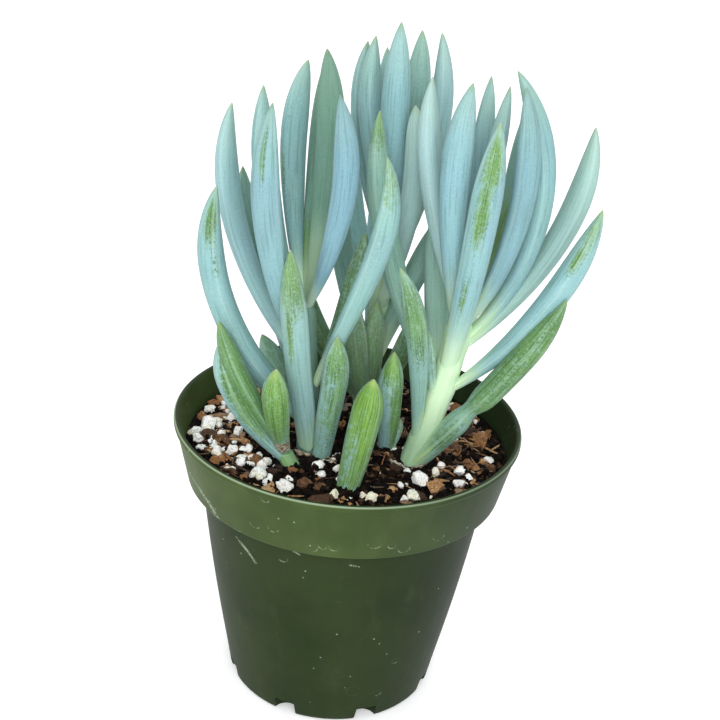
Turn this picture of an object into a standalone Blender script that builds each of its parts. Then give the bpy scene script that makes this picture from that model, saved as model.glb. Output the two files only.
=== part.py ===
"""A clump of blue chalk sticks, a leafy succulent, in a round nursery pot.

The plant is three tall leafy stems and three short sprouts, standing in holes in the soil.
Lengths are written in millimetres and angles in degrees; the model itself is in metres,
with its origin at the middle of the pot's base, +Z up and the front of the plant towards -Y.
"""

from math import pi, radians
from typing import NamedTuple

import bmesh
import bpy
import numpy as np
from mathutils import Matrix, Vector

MM = 0.001

# Pot: a moulded shell with a wide rim band, a step under it and a tapered body.
RIM_RADIUS = 57.0
POT_HEIGHT = 98.0
BAND_HEIGHT = 21.6
BAND_LOW_RADIUS = 52.1
BODY_TOP_RADIUS = 47.7
FOOT_RADIUS = 35.0
BODY_SWELL = 0.8
WALL = 1.5
FLOOR_TOP = 3.4
CHANNEL_DEPTH = 1.5
BOSS_RADIUS = 10.0
POT_STEPS = 48
DRAINS = 8
DRAIN_RADIUS = 4.0
DRAIN_HEIGHT = 5.5
DRAIN_INSET = 1.0
DRAIN_SIDES = 12
CUTTER_LENGTH = 20.0

# Soil: fills the pot up to its loose top, with a clearance to the wall.
SOIL_TOP = 88.0
CLEARANCE = 0.3
SOIL_RINGS = 9
RELIEF = 1.1
MOUND = 0.8
CHIPS = 22
CHIP_SIZES = (1.6, 3.0)
CHIP_REACH = 46.0
CHIP_CLEAR = 13.0
BIT_RISE = 0.25
SEED = 7

# Holes for the stems: how far each ring of a hole stands over the soil's level, and its margin.
HOLE_SIDES = 16
HOLE_RINGS = ((-1.5, CLEARANCE + 0.4), (1.8, 4.8), (8.0, 8.0))

# Leaf: its thickness is given as a share of its width, measured from the centreline.
OUTER_THICKNESS = 0.52
INNER_THICKNESS = 0.34
WIDEST_AT = 0.68
TIP_HOOK = 0.16
PINCH_DEPTH = 0.34
PINCH_SPREAD = 0.05
PATH_STEPS = 60
LEAF_SIDES = 8
LEAF_STATIONS = (0.0, 0.12, 0.3, 0.48, 0.64, 0.78, 0.88, 0.955, 1.0)
STEM_SIDES = 10
STEM_RINGS = 8


class Stem(NamedTuple):
    """A stem's three centre points from its foot in the soil to its top, and its two radii."""

    foot: tuple
    middle: tuple
    top: tuple
    foot_radius: float
    top_radius: float


class Leaf(NamedTuple):
    """A leaf by the height of its root over the soil, its heading round the stem, its lean from
    the upright at the root and at the tip, its length and its greatest width. Its neck is the
    root's width as a share of the greatest. Its bend is 1 where the lean changes evenly, less
    where it changes mostly near the root and more where it changes mostly near the tip. It is
    rooted that offset from the stem's middle, and a pinch narrows it at that share of its length."""

    height: float
    heading: float
    lean: float
    tip_lean: float
    length: float
    width: float
    neck: float = 0.5
    bend: float = 1.0
    offset: float = 0.0
    pinch: float = 0.0


LEFT_STEM = Stem((-11, -9, 84), (-14, -8, 112), (-16, -6, 141), 4.4, 3.0)
LEFT_LEAVES = (
    Leaf(14, -172, 52, -5, 87, 10.2, neck=0.8),
    Leaf(32, 152, 52, -6, 89, 8.6),
    Leaf(34, 132, 62, 12, 67, 8),
    Leaf(34, -136, 31, -4, 89, 9.4),
    Leaf(38, 144, 30, 4, 83, 8.6),
    Leaf(50, 114, 45, -27, 83, 8.4, neck=0.3),
    Leaf(50, 91, 34, 18, 77, 6.8, neck=0.4),
    Leaf(49, 70, 24, -18, 85, 9, neck=0.4),
    Leaf(50, -53, 28, -22, 75, 8.2, neck=0.3, bend=1.6),
    Leaf(0, -127, 14, 12, 77, 9, neck=0.8),
    Leaf(20, -25, 21, -15, 89, 8.6, neck=0.3, bend=4.5),
    Leaf(12, 43, 23, 13, 64, 8),
    Leaf(16, 140, 58, 48, 29, 7.6, neck=0.6),
    Leaf(2, -48, 8, 6, 44, 9, neck=0.7, offset=5.6),
    Leaf(10, 100, 68, 42, 72, 9),
    Leaf(18, 117, 58, 24, 70, 9),
)

RIGHT_STEM = Stem((20, -11.5, 84), (29.5, -7, 118), (33, -4, 140), 4.4, 4.0)
RIGHT_LEAVES = (
    Leaf(50, 158, 23, 5, 77, 8.6, neck=0.4),
    Leaf(48, -143, 16, -6, 79, 10),
    Leaf(32, -65, 13, 9, 88, 9.8, neck=0.6),
    Leaf(50, 83, 41, 1, 77, 6.8, bend=0.6),
    Leaf(48, 48, 4, 15, 76, 6.4, neck=0.4),
    Leaf(40, 11, 51, -28, 98, 9.6, neck=0.4, bend=0.8),
    Leaf(48, -26, 41, -9, 82, 8.8, bend=0.6),
    Leaf(48, 49, 59, -1, 72, 7.6, neck=0.4, bend=0.5),
    Leaf(40, 15, 53, 3, 85, 9.2),
    Leaf(25, -6, 57, 19, 81, 9.8, neck=0.3, bend=0.6),
    Leaf(2, -7, 39, 31, 75, 10, neck=0.85, pinch=0.35),
    Leaf(24, 102, 29, 19, 62, 9),
    Leaf(22, -152, 17, 11, 26, 5, neck=0.6),
    Leaf(8, -140, 1, 38, 66, 7.8, neck=0.4, bend=2, offset=2),
    Leaf(24, 155, 32, 6, 94, 9.2, neck=0.4),
    Leaf(30, 72, 60, 28, 71, 9),
    Leaf(20, 88, 58, 22, 70, 9),
)

BACK_STEM = Stem((6, 17, 84), (6.5, 21, 122), (12, 27, 152), 4.2, 2.8)
BACK_LEAVES = (
    Leaf(39, -54, 20, -10, 75, 7.4, neck=0.6, bend=1.6),
    Leaf(60, 171, 20, 2, 71, 9),
    Leaf(56, 137, 32, 0, 73, 9),
    Leaf(60, 111, 29, 13, 66, 8),
    Leaf(58, -112, 15, 3, 80, 9.2),
    Leaf(58, 73, 19, -1, 74, 8.8),
    Leaf(54, 6, 20, -4, 80, 8.6),
    Leaf(6, -82, 10, 10, 41, 8, neck=0.6),
    Leaf(5, -122, 23, 15, 47, 9.4, neck=0.6),
    Leaf(6, -172, 37, 21, 58, 9),
    Leaf(20, 147, 26, 2, 88, 9),
    Leaf(3, -45, 28, 22, 51, 7.6),
    Leaf(16, 8, 13, 29, 66, 9),
    Leaf(40, 114, 58, 24, 69, 9),
    Leaf(36, 77, 55, 21, 74, 9),
    Leaf(24, 90, 68, 24, 76, 9),
)

LEFT_SPROUT_STEM = Stem((-13, -23, 84), (-17, -21, 90), (-20, -20, 95), 3.2, 2.6)
LEFT_SPROUT_LEAVES = (
    Leaf(4, 179, 49, 13, 47, 9.4),
    Leaf(5, -176, 31, 25, 51, 8),
    Leaf(6, -121, 22, 8, 33, 9),
)

FRONT_SPROUT_STEM = Stem((1, -31, 82), (1, -30.5, 86), (1, -30, 90), 2.6, 2.2)
FRONT_SPROUT_LEAVES = (
    Leaf(0, 47, 13, 19, 37, 10.4, neck=0.75),
)

CENTRE_SPROUT_STEM = Stem((13, -4, 82), (13, -4, 87), (13, -4, 92), 3.4, 2.8)
CENTRE_SPROUT_LEAVES = (
    Leaf(0, 0, 20, 10, 14, 5, neck=0.7),
    Leaf(0, -92, 24, 0, 41, 8.2, neck=0.6),
)

SHOOTS = {
    "shoot_left": (LEFT_STEM, LEFT_LEAVES, "leaf_blue"),
    "shoot_right": (RIGHT_STEM, RIGHT_LEAVES, "leaf_blue"),
    "shoot_back": (BACK_STEM, BACK_LEAVES, "leaf_blue"),
    "sprout_left": (LEFT_SPROUT_STEM, LEFT_SPROUT_LEAVES, "leaf_green"),
    "sprout_front": (FRONT_SPROUT_STEM, FRONT_SPROUT_LEAVES, "leaf_green"),
    "sprout_centre": (CENTRE_SPROUT_STEM, CENTRE_SPROUT_LEAVES, "leaf_green"),
}

# Bits on the soil: x, y and half length. The first group is white perlite, the second is bark.
PERLITE_BITS = (
    (-46, 1, 4.0),
    (-47, 14, 2.6),
    (-49, -8, 2.6),
    (-39, 9, 2.2),
    (-36, -2, 2.4),
    (-37, -13, 2.6),
    (-33, -20, 2.2),
    (-27, -26, 2.6),
    (-18, -34, 3.4),
    (9, -37, 2.4),
    (22, -33, 2.6),
    (24, -25, 3.2),
    (37, -23, 2.8),
    (37, -16, 2.2),
    (47, -6, 2.2),
)
BARK_BITS = (
    (29, -27, 4.4),
    (45, 6, 5.5),
    (-29, -18, 4.2),
    (-43, 21, 4.0),
    (-36, -27, 3.6),
    (-7, -40, 4.6),
    (42, 21, 4.4),
    (17, -16, 3.6),
)

COLOURS = {
    "pot_green": ((0.060, 0.110, 0.050), 0.42),
    "soil_brown": ((0.030, 0.022, 0.017), 0.90),
    "leaf_blue": ((0.340, 0.540, 0.540), 0.62),
    "leaf_green": ((0.230, 0.400, 0.140), 0.55),
}


def clear_scene():
    for thing in list(bpy.data.objects):
        bpy.data.objects.remove(thing, do_unlink=True)


def new_collection(name):
    group = bpy.data.collections.new(name)
    bpy.context.scene.collection.children.link(group)
    return group


def material(name):
    colour, roughness = COLOURS[name]
    made = bpy.data.materials.get(name)
    if made is None:
        made = bpy.data.materials.new(name)
        made.use_nodes = True
        shader = made.node_tree.nodes["Principled BSDF"]
        shader.inputs["Base Color"].default_value = (*colour, 1.0)
        shader.inputs["Roughness"].default_value = roughness
        shader.inputs["Metallic"].default_value = 0.0
    return made


def add_object(name, mesh, group, finish=None):
    thing = bpy.data.objects.new(name, mesh)
    group.objects.link(thing)
    if finish:
        mesh.materials.append(material(finish))
    return thing


def smooth(mesh, angle):
    mesh.shade_smooth()
    mesh.set_sharp_from_angle(angle=radians(angle))


def baked(thing):
    """Replaces the object's mesh by the one its modifiers give, and removes the modifiers."""
    graph = bpy.context.evaluated_depsgraph_get()
    finished = bpy.data.meshes.new_from_object(thing.evaluated_get(graph))
    thing.modifiers.clear()
    thing.data = finished


def drop_collection(group):
    for thing in list(group.objects):
        bpy.data.objects.remove(thing, do_unlink=True)
    bpy.data.collections.remove(group)


def join_with(thing, group, solver="EXACT"):
    """Unites the object with every object of the collection, then removes the collection."""
    union = thing.modifiers.new("join", "BOOLEAN")
    union.operation = "UNION"
    union.operand_type = "COLLECTION"
    union.collection = group
    union.solver = solver
    baked(thing)
    drop_collection(group)


def cut_with(thing, cutter, solver="EXACT"):
    cut = thing.modifiers.new("cut " + cutter.name, "BOOLEAN")
    cut.operation = "DIFFERENCE"
    cut.object = cutter
    cut.solver = solver


def hide_cutter(thing):
    thing.hide_render = True
    thing.display_type = "WIRE"


def turned(name, profile, group, steps, finish=None):
    """A solid of revolution: the profile's points (radius, height) turned once about Z."""
    mesh = bpy.data.meshes.new(name)
    points = [(radius * MM, 0.0, height * MM) for radius, height in profile]
    edges = [(i, i + 1) for i in range(len(points) - 1)]
    mesh.from_pydata(points, edges, [])
    thing = add_object(name, mesh, group, finish)
    screw = thing.modifiers.new("turn", "SCREW")
    screw.steps = steps
    screw.render_steps = steps
    screw.use_merge_vertices = True
    screw.merge_threshold = 0.0001
    return thing


def body_radius(height):
    """Outer radius of the tapered body, which swells a little at half height."""
    share = height / (POT_HEIGHT - BAND_HEIGHT)
    return FOOT_RADIUS + (BODY_TOP_RADIUS - FOOT_RADIUS) * share + BODY_SWELL * np.sin(pi * share)


def band_radius(height):
    """Outer radius of the rim band, which opens upwards."""
    share = (height - (POT_HEIGHT - BAND_HEIGHT)) / BAND_HEIGHT
    return BAND_LOW_RADIUS + (RIM_RADIUS - BAND_LOW_RADIUS) * share


def inner_profile(gap):
    """Half section of the pot's inside from the middle of its floor up past the step in its wall,
    or of what fills it, that gap inside of it."""
    step = POT_HEIGHT - BAND_HEIGHT
    floor = [(0, FLOOR_TOP), (body_radius(FLOOR_TOP) - WALL - 1.2, FLOOR_TOP)]
    wall = [(body_radius(h) - WALL, h) for h in (FLOOR_TOP + 1.2, 24, 42, 60, step - 1)]
    shoulder = [(band_radius(step + 1.6) - WALL, step + 1.6)]
    return [(max(radius - gap, 0), height + gap) for radius, height in floor + wall + shoulder]


def pot_profile():
    """Half section of the pot: floor, inner wall, lip, band, step, body, foot ring and boss."""
    step = POT_HEIGHT - BAND_HEIGHT
    inner = inner_profile(0) + [(band_radius(POT_HEIGHT - 3) - WALL, POT_HEIGHT - 3)]
    lip = [(RIM_RADIUS - 1.6, POT_HEIGHT - 0.5)]
    lip += [(RIM_RADIUS - 0.8, POT_HEIGHT)]
    lip += [(RIM_RADIUS + 0.1, POT_HEIGHT - 0.5)]
    lip += [(RIM_RADIUS + 0.2, POT_HEIGHT - 1.4)]
    lip += [(band_radius(POT_HEIGHT - 2.4), POT_HEIGHT - 2.4)]
    band = [(band_radius(h), h) for h in (POT_HEIGHT - 9, step + 1)]
    band += [(BAND_LOW_RADIUS - 0.7, step)]
    body = [(BODY_TOP_RADIUS + 0.6, step), (BODY_TOP_RADIUS, step - 0.7)]
    body += [(body_radius(h), h) for h in (60, 44, 28, 12, 2.4)]
    foot = [(FOOT_RADIUS - 0.7, 0.8), (FOOT_RADIUS - 2, 0), (FOOT_RADIUS - 6, 0)]
    foot += [(FOOT_RADIUS - 6.8, CHANNEL_DEPTH), (BOSS_RADIUS + 0.8, CHANNEL_DEPTH)]
    foot += [(BOSS_RADIUS, 0), (0, 0)]
    return inner + lip + band + body + foot


def drain_cutter(name, angle, cutters):
    """An upright round cutter across the pot's bottom corner."""
    distance = FOOT_RADIUS - DRAIN_INSET
    middle = DRAIN_HEIGHT - CUTTER_LENGTH / 2
    centre = Vector((distance * np.cos(angle), distance * np.sin(angle), middle)) * MM
    radius = DRAIN_RADIUS * MM
    shape = bmesh.new()
    bmesh.ops.create_cone(shape, cap_ends=True, segments=DRAIN_SIDES, radius1=radius, radius2=radius,
                          depth=CUTTER_LENGTH * MM, matrix=Matrix.Translation(centre))
    mesh = bpy.data.meshes.new(name)
    shape.to_mesh(mesh)
    shape.free()
    cutter = add_object(name, mesh, cutters)
    hide_cutter(cutter)
    return cutter


def make_pot(parts, cutters):
    pot = turned("pot", pot_profile(), parts, POT_STEPS, "pot_green")
    baked(pot)
    for i in range(DRAINS):
        cut_with(pot, drain_cutter(f"drain_{i + 1}", 2 * pi * (i + 0.5) / DRAINS, cutters))
    baked(pot)
    smooth(pot.data, 35)
    return pot


def loft(rings, end):
    """A closed surface over rings of equal count, with a flat cap at its start and one end point."""
    count, sides = rings.shape[:2]
    points = np.concatenate([rings.reshape(-1, 3), np.asarray(end).reshape(1, 3)]) * MM
    here = np.arange(sides)
    following = (here + 1) % sides
    faces = [tuple(int(i) for i in here[::-1])]
    for start in range(0, (count - 1) * sides, sides):
        corners = zip(start + here, start + following, start + sides + following, start + sides + here)
        faces += [tuple(int(i) for i in corner) for corner in corners]
    last = (count - 1) * sides
    faces += [(int(last + a), int(last + b), count * sides) for a, b in zip(here, following)]
    mesh = bpy.data.meshes.new("loft")
    mesh.from_pydata(points.tolist(), [], faces)
    return mesh


def stem_centre(stem, height):
    """Points on the curve through the stem's three centre points, at heights over the ground."""
    points = np.array([stem.foot, stem.middle, stem.top], float)
    low, mid, top = points[:, 2]
    height = np.atleast_1d(height).astype(float)
    by_foot = (height - mid) * (height - top) / ((low - mid) * (low - top))
    by_middle = (height - low) * (height - top) / ((mid - low) * (mid - top))
    by_top = (height - low) * (height - mid) / ((top - low) * (top - mid))
    return np.outer(by_foot, points[0]) + np.outer(by_middle, points[1]) + np.outer(by_top, points[2])


def level_rings(centres, radii, sides):
    """Level circles of the given radii round the given centres."""
    angle = 2 * pi * np.arange(sides) / sides
    circle = np.stack([np.cos(angle), np.sin(angle), 0 * angle], -1)
    return centres[:, None, :] + np.asarray(radii, float)[:, None, None] * circle


def stem_mesh(stem):
    """A tapered stem: level circles along its centre curve, closed by a low point on top."""
    heights = np.linspace(stem.foot[2], stem.top[2], STEM_RINGS)
    radii = np.linspace(stem.foot_radius, stem.top_radius, STEM_RINGS)
    centres = stem_centre(stem, heights)
    return loft(level_rings(centres, radii, STEM_SIDES), centres[-1] + (0, 0, 1.0))


def leaf_width(share, leaf):
    """Width along the leaf as a share of its greatest: it swells from the neck to the widest place
    by a quarter sine and closes to the tip by a rounded power law. A pinch narrows it at one place."""
    rise = np.sin(pi / 2 * np.clip(share / WIDEST_AT, 0, 1)) ** 1.3
    fall = np.clip((share - WIDEST_AT) / (1 - WIDEST_AT), 0, 1)
    width = (leaf.neck + (1 - leaf.neck) * rise) * (1 - fall**2.2) ** 0.85
    if leaf.pinch:
        width = width * (1 - PINCH_DEPTH * np.exp(-(((share - leaf.pinch) / PINCH_SPREAD) ** 2)))
    return width


def leaf_lean(share, leaf):
    """The centreline's lean from the upright, in radians, at shares of its length."""
    return np.radians(leaf.lean + (leaf.tip_lean - leaf.lean) * share**leaf.bend)


def leaf_path(share, leaf):
    """How far out and how far up from its root the leaf's centreline runs, by adding up short
    straight steps at the lean in the middle of each."""
    ends = np.linspace(0, 1, PATH_STEPS + 1)
    lean = leaf_lean((ends[1:] + ends[:-1]) / 2, leaf)
    step = leaf.length / PATH_STEPS
    out = np.concatenate([[0], np.cumsum(step * np.sin(lean))])
    up = np.concatenate([[0], np.cumsum(step * np.cos(lean))])
    return np.interp(share, ends, out), np.interp(share, ends, up)


def leaf_mesh(stem, leaf):
    """A leaf: its centreline bends in an upright plane from its lean at the root to its lean at
    the tip. A D-shaped section, rounder outside than inside, is carried along it, and the tip
    hooks a little to the inner side."""
    share = np.array(LEAF_STATIONS)
    heading = radians(leaf.heading)
    away = np.array([np.cos(heading), np.sin(heading), 0.0])
    side = np.array([-np.sin(heading), np.cos(heading), 0.0])
    upright = np.array([0.0, 0.0, 1.0])
    out, up = leaf_path(share, leaf)
    lean = leaf_lean(share, leaf)
    outward = np.outer(np.cos(lean), away) - np.outer(np.sin(lean), upright)
    hook = TIP_HOOK * leaf.width * np.clip(2 * share - 1, 0, 1) ** 2
    root = stem_centre(stem, SOIL_TOP + leaf.height)[0] + leaf.offset * away
    centre = root + np.outer(out, away) + np.outer(up, upright) - hook[:, None] * outward
    angle = 2 * pi * np.arange(LEAF_SIDES) / LEAF_SIDES
    across = 0.5 * np.cos(angle)
    through = np.where(np.sin(angle) > 0, OUTER_THICKNESS, INNER_THICKNESS) * np.sin(angle)
    width = leaf.width * leaf_width(share, leaf)
    section = across[None, :, None] * side + through[None, :, None] * outward[:, None, :]
    rings = centre[:, None, :] + width[:, None, None] * section
    return loft(rings[:-1, ::-1], centre[-1])


def make_shoot(name, stem, leaves, finish, parts):
    """One leafy stem: its leaves, rooted in the stem, are joined with it in one solid."""
    shoot = add_object(name, stem_mesh(stem), parts, finish)
    group = new_collection(name + " leaves")
    for i, leaf in enumerate(leaves):
        add_object(f"{name} leaf {i + 1}", leaf_mesh(stem, leaf), group, finish)
    join_with(shoot, group)
    smooth(shoot.data, 40)
    return shoot


def soil_relief(x, y):
    """Height of the loose top over its level, in mm: three crossing waves, mounded to the middle
    and flat at the wall."""
    distance = np.hypot(x, y) / BAND_LOW_RADIUS
    waves = np.sin(0.31 * x + 0.8) * np.cos(0.27 * y) + 0.6 * np.sin(0.17 * x - 0.42 * y + 1.3)
    return (RELIEF * waves + MOUND * (1 - distance)) * np.clip(1.6 * (1.02 - distance), 0, 1)


def soil_profile():
    """Half section of the soil, from its middle on top, down the pot's wall and in along its floor."""
    edge = band_radius(SOIL_TOP) - WALL - CLEARANCE
    top = [(edge * i / SOIL_RINGS, SOIL_TOP) for i in range(SOIL_RINGS + 1)]
    return top + inner_profile(CLEARANCE)[::-1]


def raise_relief(mesh):
    """Moves the points of the soil's top by its relief."""
    points = np.empty(len(mesh.vertices) * 3, np.float32)
    mesh.vertices.foreach_get("co", points)
    points = points.reshape(-1, 3)
    on_top = points[:, 2] > (SOIL_TOP - 0.01) * MM
    x, y = points[on_top, 0] / MM, points[on_top, 1] / MM
    points[on_top, 2] += soil_relief(x, y) * MM
    mesh.vertices.foreach_set("co", points.ravel())
    mesh.update()


def soil_bit(name, x, y, size, flat, draw, group):
    """A rough twenty-sided chip, stretched, turned and half sunk in the soil."""
    shape = bmesh.new()
    bmesh.ops.create_icosphere(shape, subdivisions=1, radius=MM)
    turn = Matrix.Rotation(draw.uniform(0, 2 * pi), 4, "Z") @ Matrix.Rotation(draw.uniform(-0.3, 0.3), 4, "X")
    height = SOIL_TOP + float(soil_relief(x, y)) + BIT_RISE * size
    place = Matrix.Translation(Vector((x, y, height)) * MM)
    stretch = Matrix.Diagonal((size, size * draw.uniform(0.65, 0.85), size * flat, 1.0))
    bmesh.ops.transform(shape, matrix=place @ turn @ stretch, verts=shape.verts)
    mesh = bpy.data.meshes.new(name)
    shape.to_mesh(mesh)
    shape.free()
    return add_object(name, mesh, group, "soil_brown")


def clear_of_stems(x, y, distance):
    """Whether a place on the soil is at least that far from every stem's foot."""
    feet = [stem_centre(stem, SOIL_TOP)[0][:2] for stem, _, _ in SHOOTS.values()]
    return min(np.hypot(x - foot[0], y - foot[1]) for foot in feet) > distance


def scatter_bits(group):
    """The listed bits of perlite and bark, then small chips drawn at random and kept off the stems."""
    draw = np.random.default_rng(SEED)
    for i, (x, y, size) in enumerate(PERLITE_BITS):
        soil_bit(f"perlite {i + 1}", x, y, size, 0.75, draw, group)
    for i, (x, y, size) in enumerate(BARK_BITS):
        soil_bit(f"bark {i + 1}", x, y, size, 0.5, draw, group)
    placed = 0
    while placed < CHIPS:
        angle = draw.uniform(0, 2 * pi)
        distance = CHIP_REACH * np.sqrt(draw.uniform(0, 1))
        x, y = distance * np.cos(angle), distance * np.sin(angle)
        size = draw.uniform(*CHIP_SIZES)
        if clear_of_stems(x, y, CHIP_CLEAR):
            placed += 1
            soil_bit(f"chip {placed}", x, y, size, 0.6, draw, group)


def stem_hole(name, stem, cutters):
    """A plain hole that follows the stem's foot and opens to a shallow dish at the soil's top."""
    foot = (stem.foot[2] - CLEARANCE, CLEARANCE + 0.05)
    heights, margins = zip(foot, *((SOIL_TOP + rise, margin) for rise, margin in HOLE_RINGS))
    centres = stem_centre(stem, heights)
    radius = stem.foot_radius / np.cos(pi / HOLE_SIDES)
    rings = level_rings(centres, radius + np.array(margins), HOLE_SIDES)
    hole = add_object(name, loft(rings, centres[-1] + (0, 0, 1)), cutters)
    hide_cutter(hole)
    return hole


def make_soil(parts, cutters):
    soil = turned("soil", soil_profile(), parts, POT_STEPS, "soil_brown")
    baked(soil)
    raise_relief(soil.data)
    group = new_collection("soil bits")
    scatter_bits(group)
    join_with(soil, group, "MANIFOLD")
    for name, (stem, _, _) in SHOOTS.items():
        cut_with(soil, stem_hole(name + "_hole", stem, cutters), "MANIFOLD")
    baked(soil)
    smooth(soil.data, 30)
    return soil


def main():
    clear_scene()
    parts = new_collection("potted_blue_chalk_sticks")
    cutters = new_collection("cutters")
    make_pot(parts, cutters)
    make_soil(parts, cutters)
    for name, (stem, leaves, finish) in SHOOTS.items():
        make_shoot(name, stem, leaves, finish, parts)


main()
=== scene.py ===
"""The looks of a clump of blue chalk sticks, a leafy succulent, in a round green nursery pot.

The plant's leaves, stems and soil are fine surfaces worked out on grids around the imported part.
Lengths are written in millimetres and angles in degrees, as on the part; meshes are in metres.
"""

from math import cos, pi, radians, sin
from typing import NamedTuple

import bmesh
import bpy
import numpy as np
from bpy.props import FloatProperty, FloatVectorProperty, IntProperty, PointerProperty
from mathutils import Matrix, Vector


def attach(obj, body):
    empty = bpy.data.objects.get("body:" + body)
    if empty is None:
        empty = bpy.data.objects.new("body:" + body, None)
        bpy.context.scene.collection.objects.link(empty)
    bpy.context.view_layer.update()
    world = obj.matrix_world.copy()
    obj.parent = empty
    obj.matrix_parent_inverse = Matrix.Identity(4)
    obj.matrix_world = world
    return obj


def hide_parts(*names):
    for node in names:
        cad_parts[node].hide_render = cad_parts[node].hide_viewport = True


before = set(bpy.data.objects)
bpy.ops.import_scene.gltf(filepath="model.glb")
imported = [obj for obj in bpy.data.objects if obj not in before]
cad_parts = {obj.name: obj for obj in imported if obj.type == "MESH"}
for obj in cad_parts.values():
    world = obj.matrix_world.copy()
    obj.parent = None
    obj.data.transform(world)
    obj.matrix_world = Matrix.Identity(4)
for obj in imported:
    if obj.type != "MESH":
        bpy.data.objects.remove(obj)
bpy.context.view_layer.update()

bl_info = {
    "name": "Potted Blue Chalk Sticks",
    "version": (1, 0, 0),
    "blender": (4, 5, 0),
    "location": "3D View > Sidebar > Chalk Sticks",
    "description": "Builds a clump of blue chalk sticks in a nursery pot, with its soil and stage",
    "category": "Add Mesh",
}

MM = 0.001
BODY = "root"

# The camera's place: it looks at the middle of the rim, from this far and this high.
RIM_HEIGHT = 98.0
CAMERA_DISTANCE = 465.0
CAMERA_ELEVATION = 27.9
CAMERA_YAW = -0.28
CAMERA_PITCH = 2.30
CAMERA_ROLL = -4.59
CAMERA_LENS = 70.45
SENSOR_WIDTH = 36.0
CLIP_START = 0.01

# Pot, as on the part.
RIM_RADIUS = 57.0
BAND_HEIGHT = 21.6
BAND_LOW_RADIUS = 52.1
BODY_TOP_RADIUS = 47.7
FOOT_RADIUS = 35.0
BODY_SWELL = 0.8
WALL = 1.5
FLOOR_TOP = 3.4
CHANNEL_DEPTH = 1.5
BOSS_RADIUS = 10.0
DRAINS = 8
DRAIN_RADIUS = 4.0
DRAIN_HEIGHT = 5.5
DRAIN_INSET = 1.0
DRAIN_SIDES = 40
CUTTER_LENGTH = 20.0
SHARP_FROM = 40.0
STEP_HEIGHT = RIM_HEIGHT - BAND_HEIGHT

# Soil.
SOIL_TOP = 88.0
RELIEF = 1.1
CLEARANCE = 0.3
TOP_RINGS = 150
TOP_SIDES = 420
SOIL_SEED = 5
LUMP_SEED = 11
# No heaped bit lies further out than a radius drawn from this range, and no fibre than the next.
HEAP_REACH = (43.0, 49.5)
FIBRE_REACH = 51.0
HUSK_SIDES = 15
HUSK_RINGS = 10
HUSK_THICKNESS = 0.25
HUSK_SEED = 51

# Leaf section and outline, as on the part.
OUTER_THICKNESS = 0.52
INNER_THICKNESS = 0.34
WIDEST_AT = 0.68
TIP_HOOK = 0.16
PINCH_DEPTH = 0.34
PINCH_SPREAD = 0.05
PATH_STEPS = 240
# The radius round which the finish is laid on: a share of a leaf's width, and a stem's in full.
LEAF_GIRTH = 0.48
STEM_GIRTH = 4.0
STEM_RINGS = 60
STEM_SIDES = 32
# How far apart the patterns of one leaf or stem and the next start, so that no two are the same.
LEAF_STEP = 137.0
SHEET_STEP = 20.0
STEM_STEP = 61.0
# The stem's colour reaches less far on low leaves, and sprouts of a thinner foot have none of it.
LOW_ROOT = 15.0
LOW_REACH = 3.0
SPROUT_RADIUS = 4.0


class Stem(NamedTuple):
    """A stem's three centre points from its foot in the soil to its top, its two radii, its darker
    tone and painted shade, how young and green, and how far from it its leaves have its colour."""

    foot: tuple
    middle: tuple
    top: tuple
    foot_radius: float
    top_radius: float
    tone_and_painted_shade: float = 0.0
    young: float = 0.0
    reach: float = 12.0


class Leaf(NamedTuple):
    """A leaf's form, as on the part: the height of its root over the soil, its heading round the
    stem, its lean from the upright at root and tip, its length and width, its neck, bend, offset
    from the stem's middle and pinch. A greater taper makes its tip blunter. Then its finish: how
    whole its wax bloom is, how sage the bloom is, how much darker it is in tone and painted shade
    (above 0) or paler in tone and painted light (below 0), how young and yellow its flesh is, how
    brown its scarred root is, and the places where the bloom is rubbed off, each (share along,
    degrees round from the front, half length, half spread in degrees, depth)."""

    height: float
    heading: float
    lean: float
    tip_lean: float
    length: float
    width: float
    neck: float = 0.5
    bend: float = 1.0
    offset: float = 0.0
    pinch: float = 0.0
    taper: float = 2.2
    bloom: float = 0.95
    sage: float = 0.25
    tone_and_painted_shade: float = 0.0
    young: float = 0.1
    scar: float = 0.0
    rubs: tuple = ()


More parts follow.
